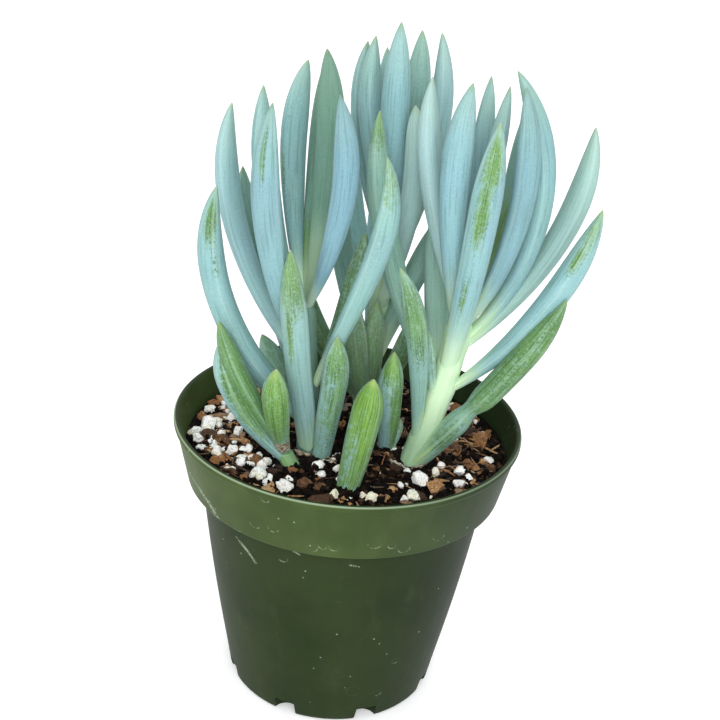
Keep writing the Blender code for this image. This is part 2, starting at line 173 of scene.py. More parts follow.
LEFT_STEM = Stem((-11, -9, 84), (-14, -8, 112), (-16, -6, 141), 4.4, 3.0, tone_and_painted_shade=0.85, reach=6.0)
LEFT_LEAVES = (
    Leaf(14, -172, 52, -5, 87, 10.2, neck=0.8, sage=0.35, tone_and_painted_shade=0.04,
         rubs=((0.88, 5, 0.09, 30, 0.8), (0.72, -12, 0.05, 14, 0.45))),
    Leaf(32, 152, 52, -6, 89, 8.6, sage=0.15, tone_and_painted_shade=-0.12),
    Leaf(34, 132, 62, 12, 67, 8, bloom=0.75, sage=0.8, tone_and_painted_shade=0.1),
    Leaf(34, -136, 31, -4, 89, 9.4, sage=0.25, tone_and_painted_shade=0.15,
         rubs=((0.84, 18, 0.11, 12, 0.7), (0.80, -45, 0.12, 14, 0.25))),
    Leaf(38, 144, 30, 4, 83, 8.6, sage=0.3),
    Leaf(50, 114, 45, -27, 83, 8.4, neck=0.3, sage=0.35,
         rubs=((0.74, 25, 0.16, 20, 0.28), (0.55, 40, 0.10, 12, 0.6))),
    Leaf(50, 91, 34, 18, 77, 6.8, neck=0.4, bloom=0.85, sage=0.9, tone_and_painted_shade=0.42, young=0.7,
         rubs=((0.12, 0, 0.24, 200, 0.85),)),
    Leaf(49, 70, 24, -18, 85, 9, neck=0.4, sage=0.9, tone_and_painted_shade=0.5),
    Leaf(50, -53, 28, -22, 75, 8.2, neck=0.3, bend=1.6, sage=0.0, tone_and_painted_shade=0.36),
    Leaf(0, -127, 14, 12, 77, 9, neck=0.8, sage=0.55, tone_and_painted_shade=-0.06, young=0.2,
         rubs=((0.90, 0, 0.16, 80, 0.85), (0.66, 22, 0.16, 14, 0.85))),
    Leaf(20, -25, 21, -15, 89, 8.6, neck=0.3, bend=4.5, bloom=0.88, sage=0.5, young=0.3,
         rubs=((0.92, 0, 0.10, 80, 0.5), (0.75, 10, 0.2, 40, 0.2))),
    Leaf(12, 43, 23, 13, 64, 8, bloom=0.45, sage=0.9, rubs=((0.6, 0, 0.4, 80, 0.5),)),
    Leaf(16, 140, 58, 48, 29, 7.6, neck=0.6, bloom=0.6, sage=0.9, tone_and_painted_shade=0.2),
    Leaf(2, -48, 8, 6, 44, 9, neck=0.7, offset=5.6, bloom=0.6, sage=0.5, young=0.25, tone_and_painted_shade=0.06,
         rubs=((0.85, -10, 0.2, 70, 0.75), (0.5, -22, 0.35, 50, 0.6))),
    Leaf(10, 100, 68, 42, 72, 9, sage=0.3),
    Leaf(18, 117, 58, 24, 70, 9, sage=0.3),
)

RIGHT_STEM = Stem((20, -11.5, 84), (29.5, -7, 118), (33, -4, 140), 4.4, 4.0, reach=9.5)
RIGHT_LEAVES = (
    Leaf(50, 158, 23, 5, 77, 8.6, neck=0.4, sage=0.2, tone_and_painted_shade=-0.3),
    Leaf(48, -143, 16, -6, 79, 10, sage=0.1, tone_and_painted_shade=0.04),
    Leaf(32, -65, 13, 9, 88, 9.8, neck=0.6, sage=0.3, young=0.3,
         rubs=((0.88, 3, 0.10, 45, 0.8), (0.70, 10, 0.14, 26, 0.8), (0.62, 30, 0.20, 14, 0.3),
               (0.36, 18, 0.09, 9, 0.85))),
    Leaf(50, 83, 41, 1, 77, 6.8, bend=0.6, sage=0.2, tone_and_painted_shade=-0.1),
    Leaf(48, 48, 4, 15, 76, 6.4, neck=0.4, sage=0.3, tone_and_painted_shade=-0.15),
    Leaf(40, 11, 51, -28, 98, 9.6, neck=0.4, bend=0.8, sage=0.3, tone_and_painted_shade=0.02),
    Leaf(48, -26, 41, -9, 82, 8.8, bend=0.6, sage=0.22, tone_and_painted_shade=0.24,
         rubs=((0.84, 0, 0.10, 14, 0.25),)),
    Leaf(48, 49, 59, -1, 72, 7.6, neck=0.4, bend=0.5, sage=0.8, young=0.95, tone_and_painted_shade=-0.15,
         rubs=((0.35, 0, 0.26, 200, 1.0),)),
    Leaf(40, 15, 53, 3, 85, 9.2, sage=0.65, tone_and_painted_shade=-0.18),
    Leaf(25, -6, 57, 19, 81, 9.8, neck=0.3, bend=0.6, sage=0.3, young=0.3,
         rubs=((0.92, 10, 0.10, 50, 0.55), (0.80, 16, 0.07, 22, 0.8), (0.5, -30, 0.05, 12, 0.4))),
    Leaf(2, -7, 39, 31, 75, 10, neck=0.85, pinch=0.35, bloom=0.6, sage=0.8, young=0.08, tone_and_painted_shade=0.12,
         rubs=((0.68, 0, 0.30, 120, 1.3), (0.18, 10, 0.13, 60, 0.66))),
    Leaf(24, 102, 29, 19, 62, 9, sage=0.8, tone_and_painted_shade=-0.12),
    Leaf(22, -152, 17, 11, 26, 5, neck=0.6, bloom=0.6, sage=0.6),
    Leaf(8, -140, 1, 38, 66, 7.8, neck=0.4, bend=2, offset=2, bloom=0.7, sage=0.75, tone_and_painted_shade=0.08,
         young=0.2, rubs=((0.75, 0, 0.28, 80, 0.68),)),
    Leaf(24, 155, 32, 6, 94, 9.2, neck=0.4, bloom=0.85, sage=0.9, young=0.4,
         rubs=((0.95, 0, 0.08, 90, 0.6),)),
    Leaf(30, 72, 60, 28, 71, 9, sage=0.6, tone_and_painted_shade=-0.12),
    Leaf(20, 88, 58, 22, 70, 9, sage=0.6, tone_and_painted_shade=-0.12),
)

BACK_STEM = Stem((6, 17, 84), (6.5, 21, 122), (12, 27, 152), 4.2, 2.8, reach=8.0)
BACK_LEAVES = (
    Leaf(39, -54, 20, -10, 75, 7.4, neck=0.6, bend=1.6, taper=5, sage=0.35, tone_and_painted_shade=-0.3, young=0.3),
    Leaf(60, 171, 20, 2, 71, 9, sage=0.35),
    Leaf(56, 137, 32, 0, 73, 9, sage=0.35),
    Leaf(60, 111, 29, 13, 66, 8, sage=0.35),
    Leaf(58, -112, 15, 3, 80, 9.2, sage=0.2),
    Leaf(58, 73, 19, -1, 74, 8.8, sage=0.7, tone_and_painted_shade=-0.05),
    Leaf(54, 6, 20, -4, 80, 8.6, sage=0.3, tone_and_painted_shade=-0.1),
    Leaf(6, -82, 10, 10, 41, 8, neck=0.6, bloom=0.42, sage=0.7, tone_and_painted_shade=-0.14, young=0.45,
         rubs=((0.5, 0, 0.55, 90, 0.75),)),
    Leaf(5, -122, 23, 15, 47, 9.4, neck=0.6, bloom=0.42, sage=0.7, tone_and_painted_shade=-0.14, young=0.4,
         rubs=((0.5, 0, 0.55, 90, 0.75),)),
    Leaf(6, -172, 37, 21, 58, 9, bloom=0.42, sage=0.7, tone_and_painted_shade=-0.06, young=0.4,
         rubs=((0.5, 0, 0.5, 90, 0.7),)),
    Leaf(20, 147, 26, 2, 88, 9, sage=0.7, tone_and_painted_shade=0.1),
    Leaf(3, -45, 28, 22, 51, 7.6, bloom=0.42, sage=0.7, tone_and_painted_shade=-0.06, young=0.4,
         rubs=((0.5, 0, 0.5, 90, 0.7),)),
    Leaf(16, 8, 13, 29, 66, 9, sage=0.8, tone_and_painted_shade=-0.08),
    Leaf(40, 114, 58, 24, 69, 9, sage=0.3),
    Leaf(36, 77, 55, 21, 74, 9, sage=0.3),
    Leaf(24, 90, 68, 24, 76, 9, sage=0.3),
)

LEFT_SPROUT_STEM = Stem((-13, -23, 84), (-17, -21, 90), (-20, -20, 95), 3.2, 2.6, 0.1, 0.75)
LEFT_SPROUT_LEAVES = (
    Leaf(4, 179, 49, 13, 47, 9.4, bloom=0.68, sage=0.3, young=0.15,
         rubs=((0.62, -16, 0.42, 46, 0.9),)),
    Leaf(5, -176, 31, 25, 51, 8, bloom=0.4, sage=0.9, young=0.3, tone_and_painted_shade=0.25,
         rubs=((0.6, 0, 0.5, 90, 0.9),)),
    Leaf(6, -121, 22, 8, 33, 9, bloom=0.5, sage=0.8, young=0.6, scar=1.0,
         rubs=((0.65, 0, 0.45, 90, 0.9),)),
)

FRONT_SPROUT_STEM = Stem((1, -31, 82), (1, -30.5, 86), (1, -30, 90), 2.6, 2.2)
FRONT_SPROUT_LEAVES = (
    Leaf(0, 47, 13, 19, 37, 10.4, neck=0.75, bloom=0.42, sage=0.5, young=0.95,
         rubs=((0.85, 0, 0.4, 100, 1.0), (0.4, -25, 0.4, 55, 0.85))),
)

CENTRE_SPROUT_STEM = Stem((13, -4, 82), (13, -4, 87), (13, -4, 92), 3.4, 2.8)
CENTRE_SPROUT_LEAVES = (
    Leaf(0, 0, 20, 10, 14, 5, neck=0.7, bloom=0.6, sage=0.8),
    Leaf(0, -92, 24, 0, 41, 8.2, neck=0.6, bloom=0.65, sage=0.35, young=0.3,
         rubs=((0.9, 10, 0.14, 80, 0.9), (0.5, -42, 0.45, 38, 0.95))),
)

SHOOTS = {
    "shoot_left": (LEFT_STEM, LEFT_LEAVES, "blue_leaf"),
    "shoot_right": (RIGHT_STEM, RIGHT_LEAVES, "blue_leaf"),
    "shoot_back": (BACK_STEM, BACK_LEAVES, "blue_leaf"),
    "sprout_left": (LEFT_SPROUT_STEM, LEFT_SPROUT_LEAVES, "green_leaf"),
    "sprout_front": (FRONT_SPROUT_STEM, FRONT_SPROUT_LEAVES, "green_leaf"),
    "sprout_centre": (CENTRE_SPROUT_STEM, CENTRE_SPROUT_LEAVES, "green_leaf"),
}

# The larger bits on the soil, as on the part: x, y and half length; bark has its tone, dark to tan.
PERLITE_BITS = (
    (-46, 1, 4.0), (-47, 14, 2.6), (-49, -8, 2.6), (-39, 9, 2.2), (-36, -2, 2.4), (-37, -13, 2.6),
    (-33, -20, 2.2), (-27, -26, 2.6), (-18, -34, 3.4), (9, -37, 2.4), (22, -33, 2.6),
    (24, -25, 3.2), (37, -23, 2.8), (37, -16, 2.2), (47, -6, 2.2), (-50, -2, 2.2), (-51.3, -3, 1.5),
    (-44, 6, 1.9), (-47, -13, 1.8), (-25, -18, 2.0), (-24, -31, 1.6), (-8.5, -19.5, 2.7),
    (-4.0, -16.0, 1.3), (-14.5, -15.0, 1.4), (-17, -28, 1.6), (-2.6, -35.8, 2.0), (2.4, -36.6, 1.3),
    (6.8, -34.6, 1.6), (19, -35, 1.7), (20.5, -19.2, 1.6), (40, -19, 1.8), (11.6, -8.4, 1.3),
    (16.0, -7.6, 1.6), (44, 10, 1.5),
)
BARK_BITS = (
    (29, -27, 4.4, 0.84), (45, 6, 5.5, 0.66), (-29, -18, 4.2, 0.56), (-43, 21, 4.0, 0.90),
    (-36, -27, 3.6, 0.40), (-7, -40, 4.6, 0.30), (42, 21, 4.4, 0.60), (17, -16, 3.6, 0.15),
    (-7.0, -34.0, 2.8, 0.50), (0.4, -37.4, 2.4, 0.80), (-12, -31.0, 3.6, 0.45),
    (-7, -27, 3.0, 0.60), (-16.5, -24.5, 2.4, 0.55), (10.3, -11.0, 2.4, 0.35),
    (17.0, -17.5, 2.8, 0.10), (24.5, -17.0, 2.6, 0.30), (47.5, 12.5, 3.2, 0.62),
    (-49, 8, 3.0, 0.70), (-46, 19, 3.0, 0.66), (-41, -5, 2.8, 0.50), (-40, 15, 3.0, 0.75),
    (-40, -20, 3.6, 0.72), (-43, -13, 2.4, 0.60), (12, -37, 2.4, 0.80), (36, 0, 3.4, 0.45),
    (40, -9, 3.0, 0.60), (42.5, 23.5, 3.2, 0.75), (37, 29, 3.4, 0.60), (30, 14, 3.0, 0.55),
)
# Where small perlite lies thick: a middle (x, y) and how far it spreads each way.
PERLITE_CLUMPS = (((-45, 3), (4, 10)), ((-32, -18), (8, 7)))
# The same for bark and for splinters, and how far crumbs spread about a stem's foot.
BARK_CLUMPS = (((38, 2), (9, 16)), ((-40, 2), (9, 16)))
SPLINTER_CLUMP = ((34, 4), (10, 16))
FOOT_SPREAD = (4.5, 4.5)
# The least and greatest distance from the middle of the bits that lie evenly over the soil.
CRUMB_RING = (0, 51.5)
PERLITE_RING = (14, 51)
BARK_RING = (8, 49)
SPLINTER_RING = (8, 50)
ROOT_RING = (8, 48)
# Half sizes: the crumbs' range and how much larger they are about a stem's foot; for perlite and
# bark the least, the range over it and the power that makes most of them small.
CRUMB_SIZE = (0.35, 1.2)
FOOT_CRUMB = 1.5
PERLITE_SIZE = (0.6, 1.6, 1.8)
BARK_SIZE = (0.9, 2.9, 1.7)


class Grit(NamedTuple):
    """Loose bits of one kind: how finely their ball is divided, their seed, how rough they are,
    how many cuts plane them, their least and greatest stretch from a ball of radius 1, how far
    they tilt in radians and what share of their height is sunk."""

    level: int
    seed: int
    roughness: float
    cuts: int
    low: tuple
    high: tuple
    tilt: float
    sink: float


CRUMBS = Grit(1, 21, 0.22, 2, 0.6, 1.3, 1.2, 0.25)
LARGE_PERLITE = Grit(4, 31, 0.11, 4, (0.85, 0.68, 0.60), (1.0, 0.90, 0.85), 0.6, 0.16)
SMALL_PERLITE = Grit(2, 32, 0.14, 3, 0.70, 1.1, 1.2, 0.12)
LARGE_BARK = Grit(4, 41, 0.20, 9, (0.85, 0.58, 0.36), (1.0, 0.78, 0.50), 0.5, 0.14)
SMALL_BARK = Grit(2, 42, 0.18, 7, (0.9, 0.30, 0.14), (1.0, 0.75, 0.38), 0.6, 0.08)


class Thread(NamedTuple):
    """Fibres of one kind: the ranges of their length, bend in radians and half thickness, how
    thick they are for their width, and the range of the lift of one end."""

    length: tuple
    bend: tuple
    thick: tuple
    flatness: float
    lift: tuple


SPLINTERS = Thread((3, 10), (-0.5, 0.5), (0.18, 0.55), 0.5, (0.2, 2.4))
ROOTS = Thread((6, 15), (-1.8, 1.8), (0.09, 0.18), 1.0, (0.2, 2.0))
# Papery remains at the stems' feet: x, y, height over the soil, heading, half width and height.
HUSKS = (
    (-13.8, -13.6, 0.0, -115, 4.2, 4.2), (-7.0, -16.6, -0.3, -80, 3.8, 3.4),
    (-3.6, -13.0, 0.0, -40, 3.4, 3.6), (13.2, -7.6, -0.4, -95, 3.4, 2.8),
    (16.8, -15.0, -0.4, -130, 4.2, 4.6), (23.6, -14.9, -0.4, -55, 3.8, 3.4),
)

# Dried water on the front of the pot: rings (x, z, radius) and runs (x, z, x, z, half width).
WATER_RINGS = (
    (-31.6, 78.0, 1.3), (-25.7, 83.3, 1.6), (-20.0, 84.3, 1.7), (-22.8, 95.0, 1.2),
    (-7.8, 79.9, 1.7), (-4.6, 81.2, 1.3), (-1.2, 81.3, 1.6), (11.0, 83.2, 2.1), (16.2, 81.9, 1.2),
    (20.0, 80.2, 1.9), (30.6, 81.9, 1.7), (-16.8, 69.5, 1.5), (22.0, 26.0, 1.2), (17.0, 12.0, 1.4),
)
WATER_RUNS = (
    (-49.0, 85.0, -44.9, 83.2, 0.7), (-44.9, 83.2, -40.4, 79.8, 1.2),
    (-40.4, 79.8, -38.2, 77.0, 1.0), (-41.5, 81.5, -39.8, 77.2, 0.8),
    (-32.5, 69.4, -30.8, 68.2, 0.5), (-30.8, 68.2, -28.2, 66.2, 0.9),
    (-28.2, 66.2, -25.6, 63.2, 0.7), (-13.5, 73.3, -11.5, 72.6, 0.5), (4.2, 70.9, 7.0, 70.4, 0.5),
)

# Tints that stay as they are: on the leaves, the pot, the soil, perlite, bark and husks.
VEIN_GREEN = (0.042, 0.115, 0.020)
HAIR_GREEN = (0.260, 0.430, 0.130)
WORN_WAX = (0.400, 0.580, 0.490)
SPECK_WAX = (0.42, 0.60, 0.62)
LINE_WAX = (0.120, 0.260, 0.260)
MARGIN = (0.50, 0.66, 0.58)
DASH_GREEN = (0.035, 0.095, 0.055)
SEAM_GREEN = (0.400, 0.560, 0.160)
TIP_GREEN = (0.400, 0.520, 0.200)
TIP_BROWN = (0.560, 0.520, 0.360)
SCAR_DARK = (0.130, 0.085, 0.042)
SCAR_PALE = (0.560, 0.470, 0.370)
# Painted light (the pale tint) and painted shade (the blue and green tints) on the leaves and
# stems, mixed with their own paler or darker tone.
PALE_TONE_AND_PAINTED_LIGHT = (0.560, 0.700, 0.640)
SHADE_BLUE = (0.065, 0.150, 0.230)
SHADE_GREEN = (0.050, 0.140, 0.070)
# Painted shade on the pot's right side, under its band and on the top of its lip, and a painted
# highlight on the lip's outer edge.
POT_SHADOW = (0.015, 0.028, 0.011)
PAINTED_SHADE_UNDER_BAND = (0.006, 0.013, 0.0035)
PAINTED_SHADE_LIP_TOP = (0.016, 0.028, 0.010)
PAINTED_HIGHLIGHT_LIP = (0.290, 0.370, 0.240)
POT_HAZE = (0.150, 0.180, 0.110)
POT_SCRATCH = (0.200, 0.240, 0.150)
LIME = (0.480, 0.560, 0.430)
PEAT_BLACK = (0.0022, 0.0015, 0.0011)
PEAT_TAN = (0.120, 0.062, 0.030)
PEAT_GRIT = (0.055, 0.034, 0.020)
PEAT_PATCH = (0.020, 0.011, 0.007)
PERLITE_WHITE = (0.985, 0.975, 0.94)
PERLITE_WARM = (0.95, 0.89, 0.74)
PERLITE_CREAM = (0.88, 0.81, 0.57)
PERLITE_DUST = (0.36, 0.26, 0.16)
PERLITE_PIT = (0.50, 0.44, 0.35)
BARK_BROWNS = (
    (0.0, (0.018, 0.010, 0.006)), (0.42, (0.095, 0.045, 0.022)),
    (0.74, (0.350, 0.160, 0.056)), (1.0, (0.620, 0.410, 0.210)),
)
BARK_GREY = (0.330, 0.260, 0.190)
BARK_CRACK = (0.024, 0.014, 0.009)
HUSK_GREY = (0.600, 0.620, 0.540)
HUSK_TAN = (0.420, 0.330, 0.220)
HUSK_LINE = (0.780, 0.780, 0.700)
HUSK_STAIN = (0.140, 0.085, 0.045)

# Stage: half the floor's width, and each light's place in metres, width, share of the key light's
# power and colour.
FLOOR_HALF = 60000.0
LIGHTS = {
    "key": ((-0.50, -0.75, 0.95), 1.4, 1.0, (1.0, 0.99, 0.97)),
    "front": ((0.12, -1.15, 0.70), 1.0, 2.6, (0.98, 0.99, 1.0)),
    "back": ((0.2, 0.9, 0.9), 0.8, 0.9, (1.0, 1.0, 1.0)),
}
LIGHT_AIM = (0, 0, 0.12)
SKY_COLOUR = (0.97, 0.985, 1.0, 1.0)


# Shader maths


class Socket:
    """A shader output whose arithmetic adds Math nodes, in either order of its operands."""

    def __init__(self, finish, link):
        self.finish = finish
        self.link = link

    def math(self, operation, *others, clamp=False):
        settings = {"operation": operation, "use_clamp": clamp}
        return self.finish.node("ShaderNodeMath", settings, dict(enumerate((self, *others))))

    def __add__(self, other):
        return self.math("ADD", other)

    def __sub__(self, other):
        return self.math("SUBTRACT", other)

    def __mul__(self, other):
        return self.math("MULTIPLY", other)

    def __pow__(self, other):
        return self.math("POWER", other)

    def __rsub__(self, other):
        return self.finish.node("ShaderNodeMath", {"operation": "SUBTRACT"}, {0: other, 1: self})

    __radd__ = __add__
    __rmul__ = __mul__

    def size(self):
        return self.math("ABSOLUTE")

    def clip(self):
        return self.math("ADD", 0.0, clamp=True)

    def rise(self, low, high):
        """0 below low, 1 above high and a smooth step between; low may be the greater."""
        values = {"Value": self, "From Min": low, "From Max": high}
        return self.finish.node("ShaderNodeMapRange", {"interpolation_type": "SMOOTHSTEP"}, values)


def across(aside, over):
    """How far away a place is, from how far it lies aside and over."""
    return (aside * aside + over * over) ** 0.5


class Finish:
    """One material, the nodes added to it and the colours that can be set."""

    def __init__(self, name):
        self.material = bpy.data.materials.new(name)
        self.material.use_nodes = True
        self.tree = self.material.node_tree
        self.colours = bpy.context.scene.chalk_colours

    def node(self, kind, settings=None, inputs=None, out=0):
        made = self.tree.nodes.new(kind)
        for key, value in (settings or {}).items():
            setattr(made, key, value)
        for key, value in (inputs or {}).items():
            self.feed(made.inputs[key], value)
        return Socket(self, made.outputs[out])

    def feed(self, socket, value):
        """Links a value to a socket or sets it there; colours of three parts are made opaque."""
        if isinstance(value, Socket):
            self.tree.links.new(value.link, socket)
        else:
            socket.default_value = (*value, 1.0) if socket.type == "RGBA" else value

    def place(self):
        """Object coordinates in millimetres."""
        return self.stretch(self.node("ShaderNodeTexCoord", out="Object"), (1000, 1000, 1000))

    def attribute(self, name):
        return self.node("ShaderNodeAttribute", {"attribute_name": name}, out="Vector")

    def parts(self, vector):
        outputs = self.node("ShaderNodeSeparateXYZ", inputs={0: vector}).link.node.outputs
        return [Socket(self, outputs[i]) for i in range(3)]

    def stretch(self, vector, by):
        return self.node("ShaderNodeVectorMath", {"operation": "MULTIPLY"}, {0: vector, 1: by})

    def shift(self, vector, by):
        return self.node("ShaderNodeVectorMath", {"operation": "ADD"}, {0: vector, 1: by})

    def noise(self, vector, scale, detail=3.0, roughness=0.55):
        values = {"Vector": vector, "Scale": scale, "Detail": detail, "Roughness": roughness}
        return self.node("ShaderNodeTexNoise", None, values)

    def cells(self, vector, scale, randomness=1.0, dimensions="3D"):
        """How far the nearest of scattered points is; in 2D, of the vector's first two values."""
        values = {"Vector": vector, "Scale": scale, "Randomness": randomness}
        return self.node("ShaderNodeTexVoronoi", {"voronoi_dimensions": dimensions}, values)

    def chances(self, cells):
        """Three random values that each cell has for itself."""
        return self.parts(Socket(self, cells.link.node.outputs["Color"]))

    def ramp(self, factor, stops):
        """The colour at a factor between stops (place, colour)."""
        made = self.node("ShaderNodeValToRGB", None, {"Fac": factor}, "Color")
        elements = made.link.node.color_ramp.elements
        while len(elements) < len(stops):
            elements.new(0.5)
        for element, (place, colour) in zip(elements, stops):
            element.position = place
            element.color = (*colour, 1.0)
        return made

    def coats(self, colour, *coats):
        """The colour under coats (share, colour), mixed over it one after the other."""
        for share, over in coats:
            values = {0: share, 6: colour, 7: over}
            colour = self.node("ShaderNodeMix", {"data_type": "RGBA"}, values, 2)
        return colour

    def bump(self, height, distance, strength):
        values = {"Height": height, "Distance": distance, "Strength": strength}
        return self.node("ShaderNodeBump", None, values)

    def finish(self, colour, roughness, **others):
        """Links what varies to the shader and sets each uniform value on its own socket."""
        shader = self.tree.nodes["Principled BSDF"]
        for key, value in {"base_color": colour, "roughness": roughness, **others}.items():
            name = key.replace("_", " ").title().replace("Ior", "IOR")
            self.feed(shader.inputs[name], value)


# Finishes: each one gets its material's paint and the place in millimetres.


def leaf_finish(paint, here):
    """Green flesh under a chalky wax bloom with fine lines along the leaf. The bloom is greener to
    the tip and thinner on the inner face. Where it is rubbed off, blotches and short scuffs of it
    are left, and rows of dark dashes follow the veins beside."""
    grain = paint.attribute("grain")
    sheet = paint.attribute("sheet")
    to_tip, inner, scar = paint.parts(paint.attribute("place"))
    rub, bloom, sage = paint.parts(paint.attribute("wear"))
    tone_and_painted_shade, stalk, young = paint.parts(paint.attribute("depth"))

    vein = paint.noise(paint.stretch(grain, (1.0, 1.0, 0.035)), 1.9, 2.0)
    hair = paint.noise(paint.stretch(grain, (1.0, 1.0, 0.03)), 4.6, 2.0)
    cloud = paint.noise(grain, 0.055)
    drift = paint.noise(paint.shift(grain, (31.0, 17.0, 5.0)), 0.040, 2.0)
    powder = paint.noise(grain, 3.0, 3.0, 0.75)
    smear = paint.noise(paint.stretch(grain, (1.0, 1.0, 0.13)), 1.1, 4.0, 0.65)
    blotch = paint.noise(paint.shift(grain, (7.0, 3.0, 11.0)), 0.60, 4.0, 0.72)
    scuff = paint.noise(paint.stretch(grain, (0.5, 0.5, 1.3)), 1.2, 3.0, 0.65)
    speckle = paint.noise(paint.shift(grain, (5.0, 9.0, 3.0)), 1.5, 2.0, 0.6)
    dash = paint.cells(paint.stretch(sheet, (1.25, 0.75, 1.0)), 1.0, 0.75, "2D")
    row = paint.noise(paint.stretch(sheet, (1.0, 0.05, 1.0)), 0.85, 1.0)

    near = rub.rise(0.03, 0.40)
    worn = (rub * 1.25 + ((smear - 0.5) * 1.3 + (blotch - 0.5) * 1.6) * near).rise(0.20, 1.00)
    thin = (0.74 - bloom) + (smear - 0.5) * 1.0 + (blotch - 0.5) * 1.9
    worn = worn.math("MAXIMUM", thin.rise(0.02, 0.45) * (1.0 - bloom).rise(0.05, 0.5))
    left = blotch.rise(0.50, 0.66) * 0.45 + scuff.rise(0.54, 0.66) * 0.40
    left = (left + vein.rise(0.54, 0.66) * 0.25).clip()
    whole = 1.0 - worn * (0.97 - left * (0.80 - young * 0.42))
    thick = 0.92 + (vein - 0.5) * 0.28 + (powder - 0.5) * 0.5
    thick = thick + (scuff - 0.5) * 0.40 + (speckle - 0.5) * 0.30
    tip = 1.0 - to_tip.rise(0.4, 3.6)
    cover = whole * (1.0 - inner.rise(0.15, 0.9) * 0.06) * thick
    cover = (cover * (1.0 - tip * (0.25 + young * 0.5))).clip()

    to_leaf_end = (1.0 - to_tip.rise(2.0, 10.0)) * (0.15 + young * 0.6)
    fresh = (young * (0.85 + (smear - 0.5) * 0.9) + to_leaf_end).clip()
    flesh = paint.coats(
        paint.colours.flesh_dark,
        (cloud.rise(0.3, 0.7), paint.colours.flesh_light),
        (fresh, paint.colours.flesh_young),
        (vein.rise(0.52, 0.38) * 0.60, VEIN_GREEN),
        (hair.rise(0.56, 0.70) * 0.30, HAIR_GREEN),
    )
    wax = paint.coats(
        paint.colours.bloom_blue,
        ((sage + (cloud - 0.5) * 0.6).clip(), paint.colours.bloom_sage),
        (drift.rise(0.48, 0.70) * (1.0 - sage).clip() * 0.75, paint.colours.bloom_mauve),
        ((1.0 - to_tip.rise(2.0, 24.0)) * 0.45, paint.colours.bloom_mint),
        (worn * 0.45, WORN_WAX),
        (speckle.rise(0.52, 0.72) * 0.16, SPECK_WAX),
        (vein.rise(0.47, 0.35) * 0.46, LINE_WAX),
    )
    margin = 1.0 - inner.size().rise(0.02, 0.16)
    dots = (1.0 - dash.rise(0.18, 0.44)) * row.rise(0.50, 0.58)
    beside = (near * (0.85 - young * 0.6) + powder.rise(0.64, 0.72) * 0.35).clip()
    dots = dots * beside * to_tip.rise(3.0, 7.0)
    height = paint.parts(here)[2].rise(94.0, 118.0)
    stem = paint.coats(paint.colours.stem_low, (height, paint.colours.stem_pale))
    # The tint of painted shade, bluer or greener as the bloom is; it also darkens the leaf's own
    # tone.
    shadow = paint.coats(SHADE_BLUE, (sage, SHADE_GREEN))
    dry = (scar * (0.30 + blotch * 1.3)).rise(0.45, 0.62)
    colour = paint.coats(
        flesh,
        (cover, wax),
        (margin * 0.22, MARGIN),
        (dots * 0.8, DASH_GREEN),
        (stalk * 0.85, stem),
        (margin * stalk.rise(0.04, 0.4) * 0.7, SEAM_GREEN),
        (tip * (0.15 + young * 0.55).clip(), TIP_GREEN),
        ((1.0 - to_tip.rise(0.1, 0.7)) * 0.5, TIP_BROWN),
        (dry * 0.9, paint.coats(SCAR_DARK, (scuff.rise(0.42, 0.60), SCAR_PALE))),
        # Below 0 the value paints light and a paler tone, above 0 it paints shade and a darker
        # tone.
        ((0.0 - tone_and_painted_shade).clip(), PALE_TONE_AND_PAINTED_LIGHT),
        ((tone_and_painted_shade * (1.0 + (cloud - 0.5) * 0.6)).clip(), shadow),
    )
    relief = vein * 0.5 + hair * 0.4 + powder * 0.25 + worn * (scuff - 0.7) * 0.5
    normal = paint.bump(relief - dots * 0.4 + dry * blotch * 2.0, 0.00035, 0.60)
    roughness = 0.46 + cover * 0.22 + (powder - 0.5) * 0.1
    paint.finish(colour, roughness, normal=normal, subsurface_weight=0.10, subsurface_scale=0.004,
                 sheen_weight=0.05, sheen_roughness=0.5, specular_ior_level=0.26)


